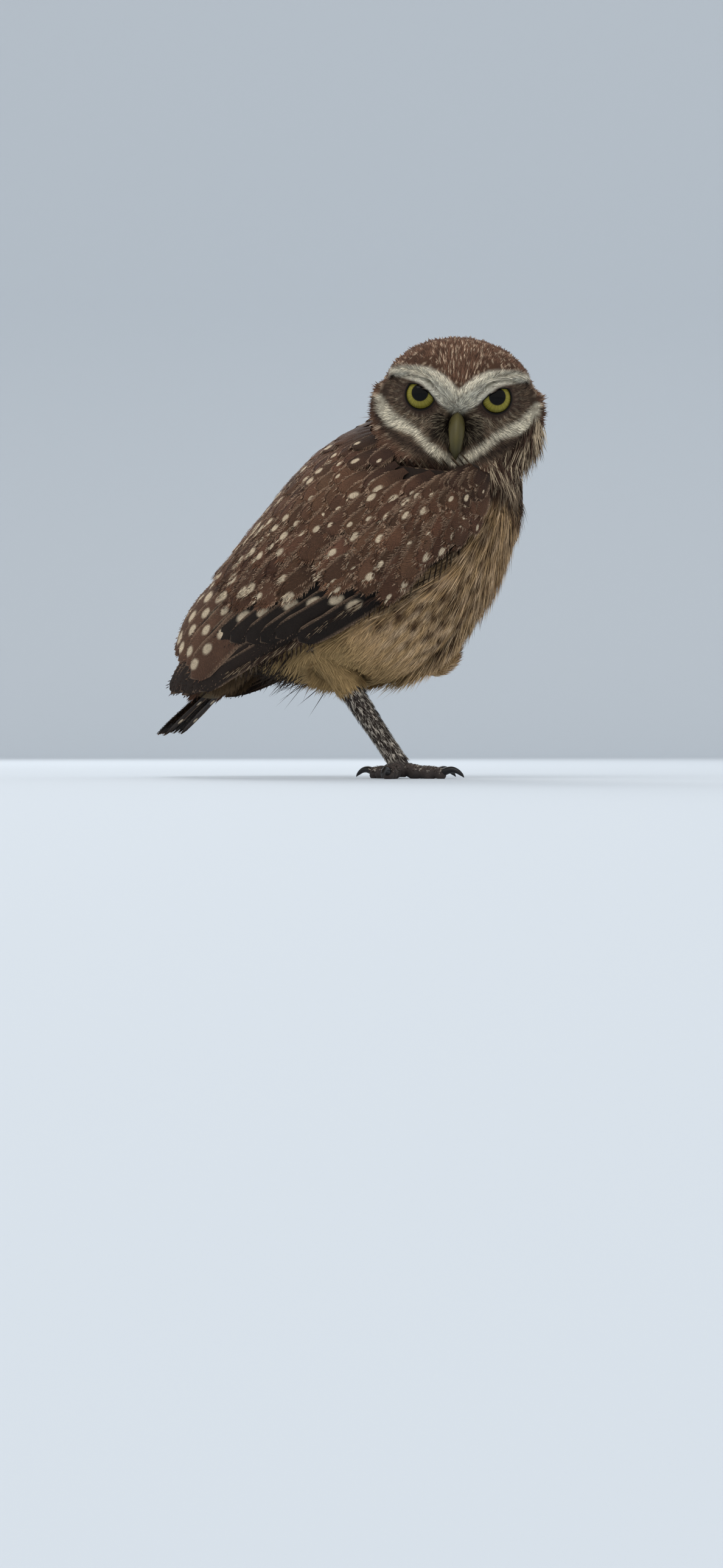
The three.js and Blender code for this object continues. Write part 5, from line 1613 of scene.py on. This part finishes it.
RAISED_HALF = [6.8, 5.8, 4.8, 4.2]
shank_bar = bristly_bar("left_shank", RAISED_SHANK, RAISED_HALF, "leg_bristles", 1000, 311, "leg_left")
thigh_feathers("left_thigh_feathers", *shank_bar, 58, 2200, 315, long=5)


def fist_line(row, line):
    """A route through the closed foot: forward and out from the belly, for the toe at a place in the
    row."""
    line = np.array(line, float)
    return (FIST_AT + FIST_AHEAD * (line[:, :1] - 0.7 * abs(row)) + FIST_OUT * line[:, 1:]
            + FIST_ACROSS * FIST_SPACING * row)


fist_parts, fist_lights = [], []
for number, row in enumerate(FIST_PLACES, 1):
    tube, light = toe_tube(fist_line(row, FIST_TOE), FIST_TOE_HALF, FIST_OUT)
    fist_parts.append(tube)
    fist_lights += [light, [0.6, 0.6]]
    claw_route = fist_line(row, FIST_CLAW)
    claw_horn(f"left_claw_horn_{number}", f"claw_left_{number}", claw_route, FIST_CLAW_HALF, 40, 20)
toes_as_one("left_toes", "foot_left", fist_parts, fist_lights, 5)
for number, row in enumerate(FIST_PLACES, 1):
    rings, out, ahead = bar_rings(fist_line(row, FIST_TOE), FIST_TOE_HALF)
    thigh_feathers(f"left_toe_feathers_{number}", rings, out, ahead, 58, 380, 320 + number, long=7)

# Floor and light: a plain pale sheet that runs up into a backdrop, under a pale sky and two large soft
# lamps.
FLOOR_PALE = (0.6, 0.65, 0.7)
FLOOR_NEAR = 3.0
FLOOR_SIDE = 4.5
BACKDROP_AT = 2.6
BACKDROP_ROUND = 0.9
BACKDROP_HIGH = 4.5
SKY_PALE = (0.97, 0.985, 1.0)
SKY_STRENGTH = 0.88
bend = np.linspace(0, np.pi / 2, 24)
floor_run = np.concatenate([[-FLOOR_NEAR], BACKDROP_AT + BACKDROP_ROUND * np.sin(bend),
                            [BACKDROP_AT + BACKDROP_ROUND]])
floor_rise = np.concatenate([[0], BACKDROP_ROUND * (1 - np.cos(bend)), [BACKDROP_HIGH]])
run_grid, side_grid = np.meshgrid(floor_run, [-FLOOR_SIDE, FLOOR_SIDE], indexing="ij")
floor_points = (run_grid[..., None] * np.array([*picture_away, 0])
                + side_grid[..., None] * np.array([*picture_right, 0]))
floor_points[..., 2] = floor_rise[:, None]
floor_faces, _ = grid_faces(len(floor_run), 2, closed=False)
floor_material, _, _, floor_shader = new_material("pale_floor")
floor_shader.inputs["Base Color"].default_value = (*FLOOR_PALE, 1)
floor_shader.inputs["Roughness"].default_value = 0.9
floor_mesh = bpy.data.meshes.new("floor")
floor_mesh.from_pydata(floor_points.reshape(-1, 3).tolist(), [], floor_faces[:, ::-1].tolist())
floor_mesh.polygons.foreach_set("use_smooth", np.ones(len(floor_mesh.polygons), bool))
floor_mesh.materials.append(floor_material)
floor = bpy.data.objects.new("floor", floor_mesh)
bpy.context.collection.objects.link(floor)

world = bpy.data.worlds.new("pale_sky")
world.use_nodes = True
world.node_tree.nodes["Background"].inputs["Color"].default_value = (*SKY_PALE, 1)
world.node_tree.nodes["Background"].inputs["Strength"].default_value = SKY_STRENGTH
bpy.context.scene.world = world
bpy.context.scene.view_settings.view_transform = "Standard"


def soft_lamp(name, at, aim, size, power):
    """A large square lamp that looks from a point towards another."""
    data = bpy.data.lights.new(name, "AREA")
    data.size = size
    data.energy = power
    lamp = bpy.data.objects.new(name, data)
    lamp.location = at
    look = np.array(aim, float) - np.array(at, float)
    nod = math.acos(-look[2] / np.linalg.norm(look))
    lamp.rotation_euler = (nod, 0, math.atan2(look[1], look[0]) - math.pi / 2)
    bpy.context.collection.objects.link(lamp)


soft_lamp("key_lamp", (0.1, -0.9, 1.3), (0, 0, 0.1), 0.9, 6)
soft_lamp("rim_lamp", (-0.9, 0.9, 1.1), (0, 0, 0.1), 0.8, 8)
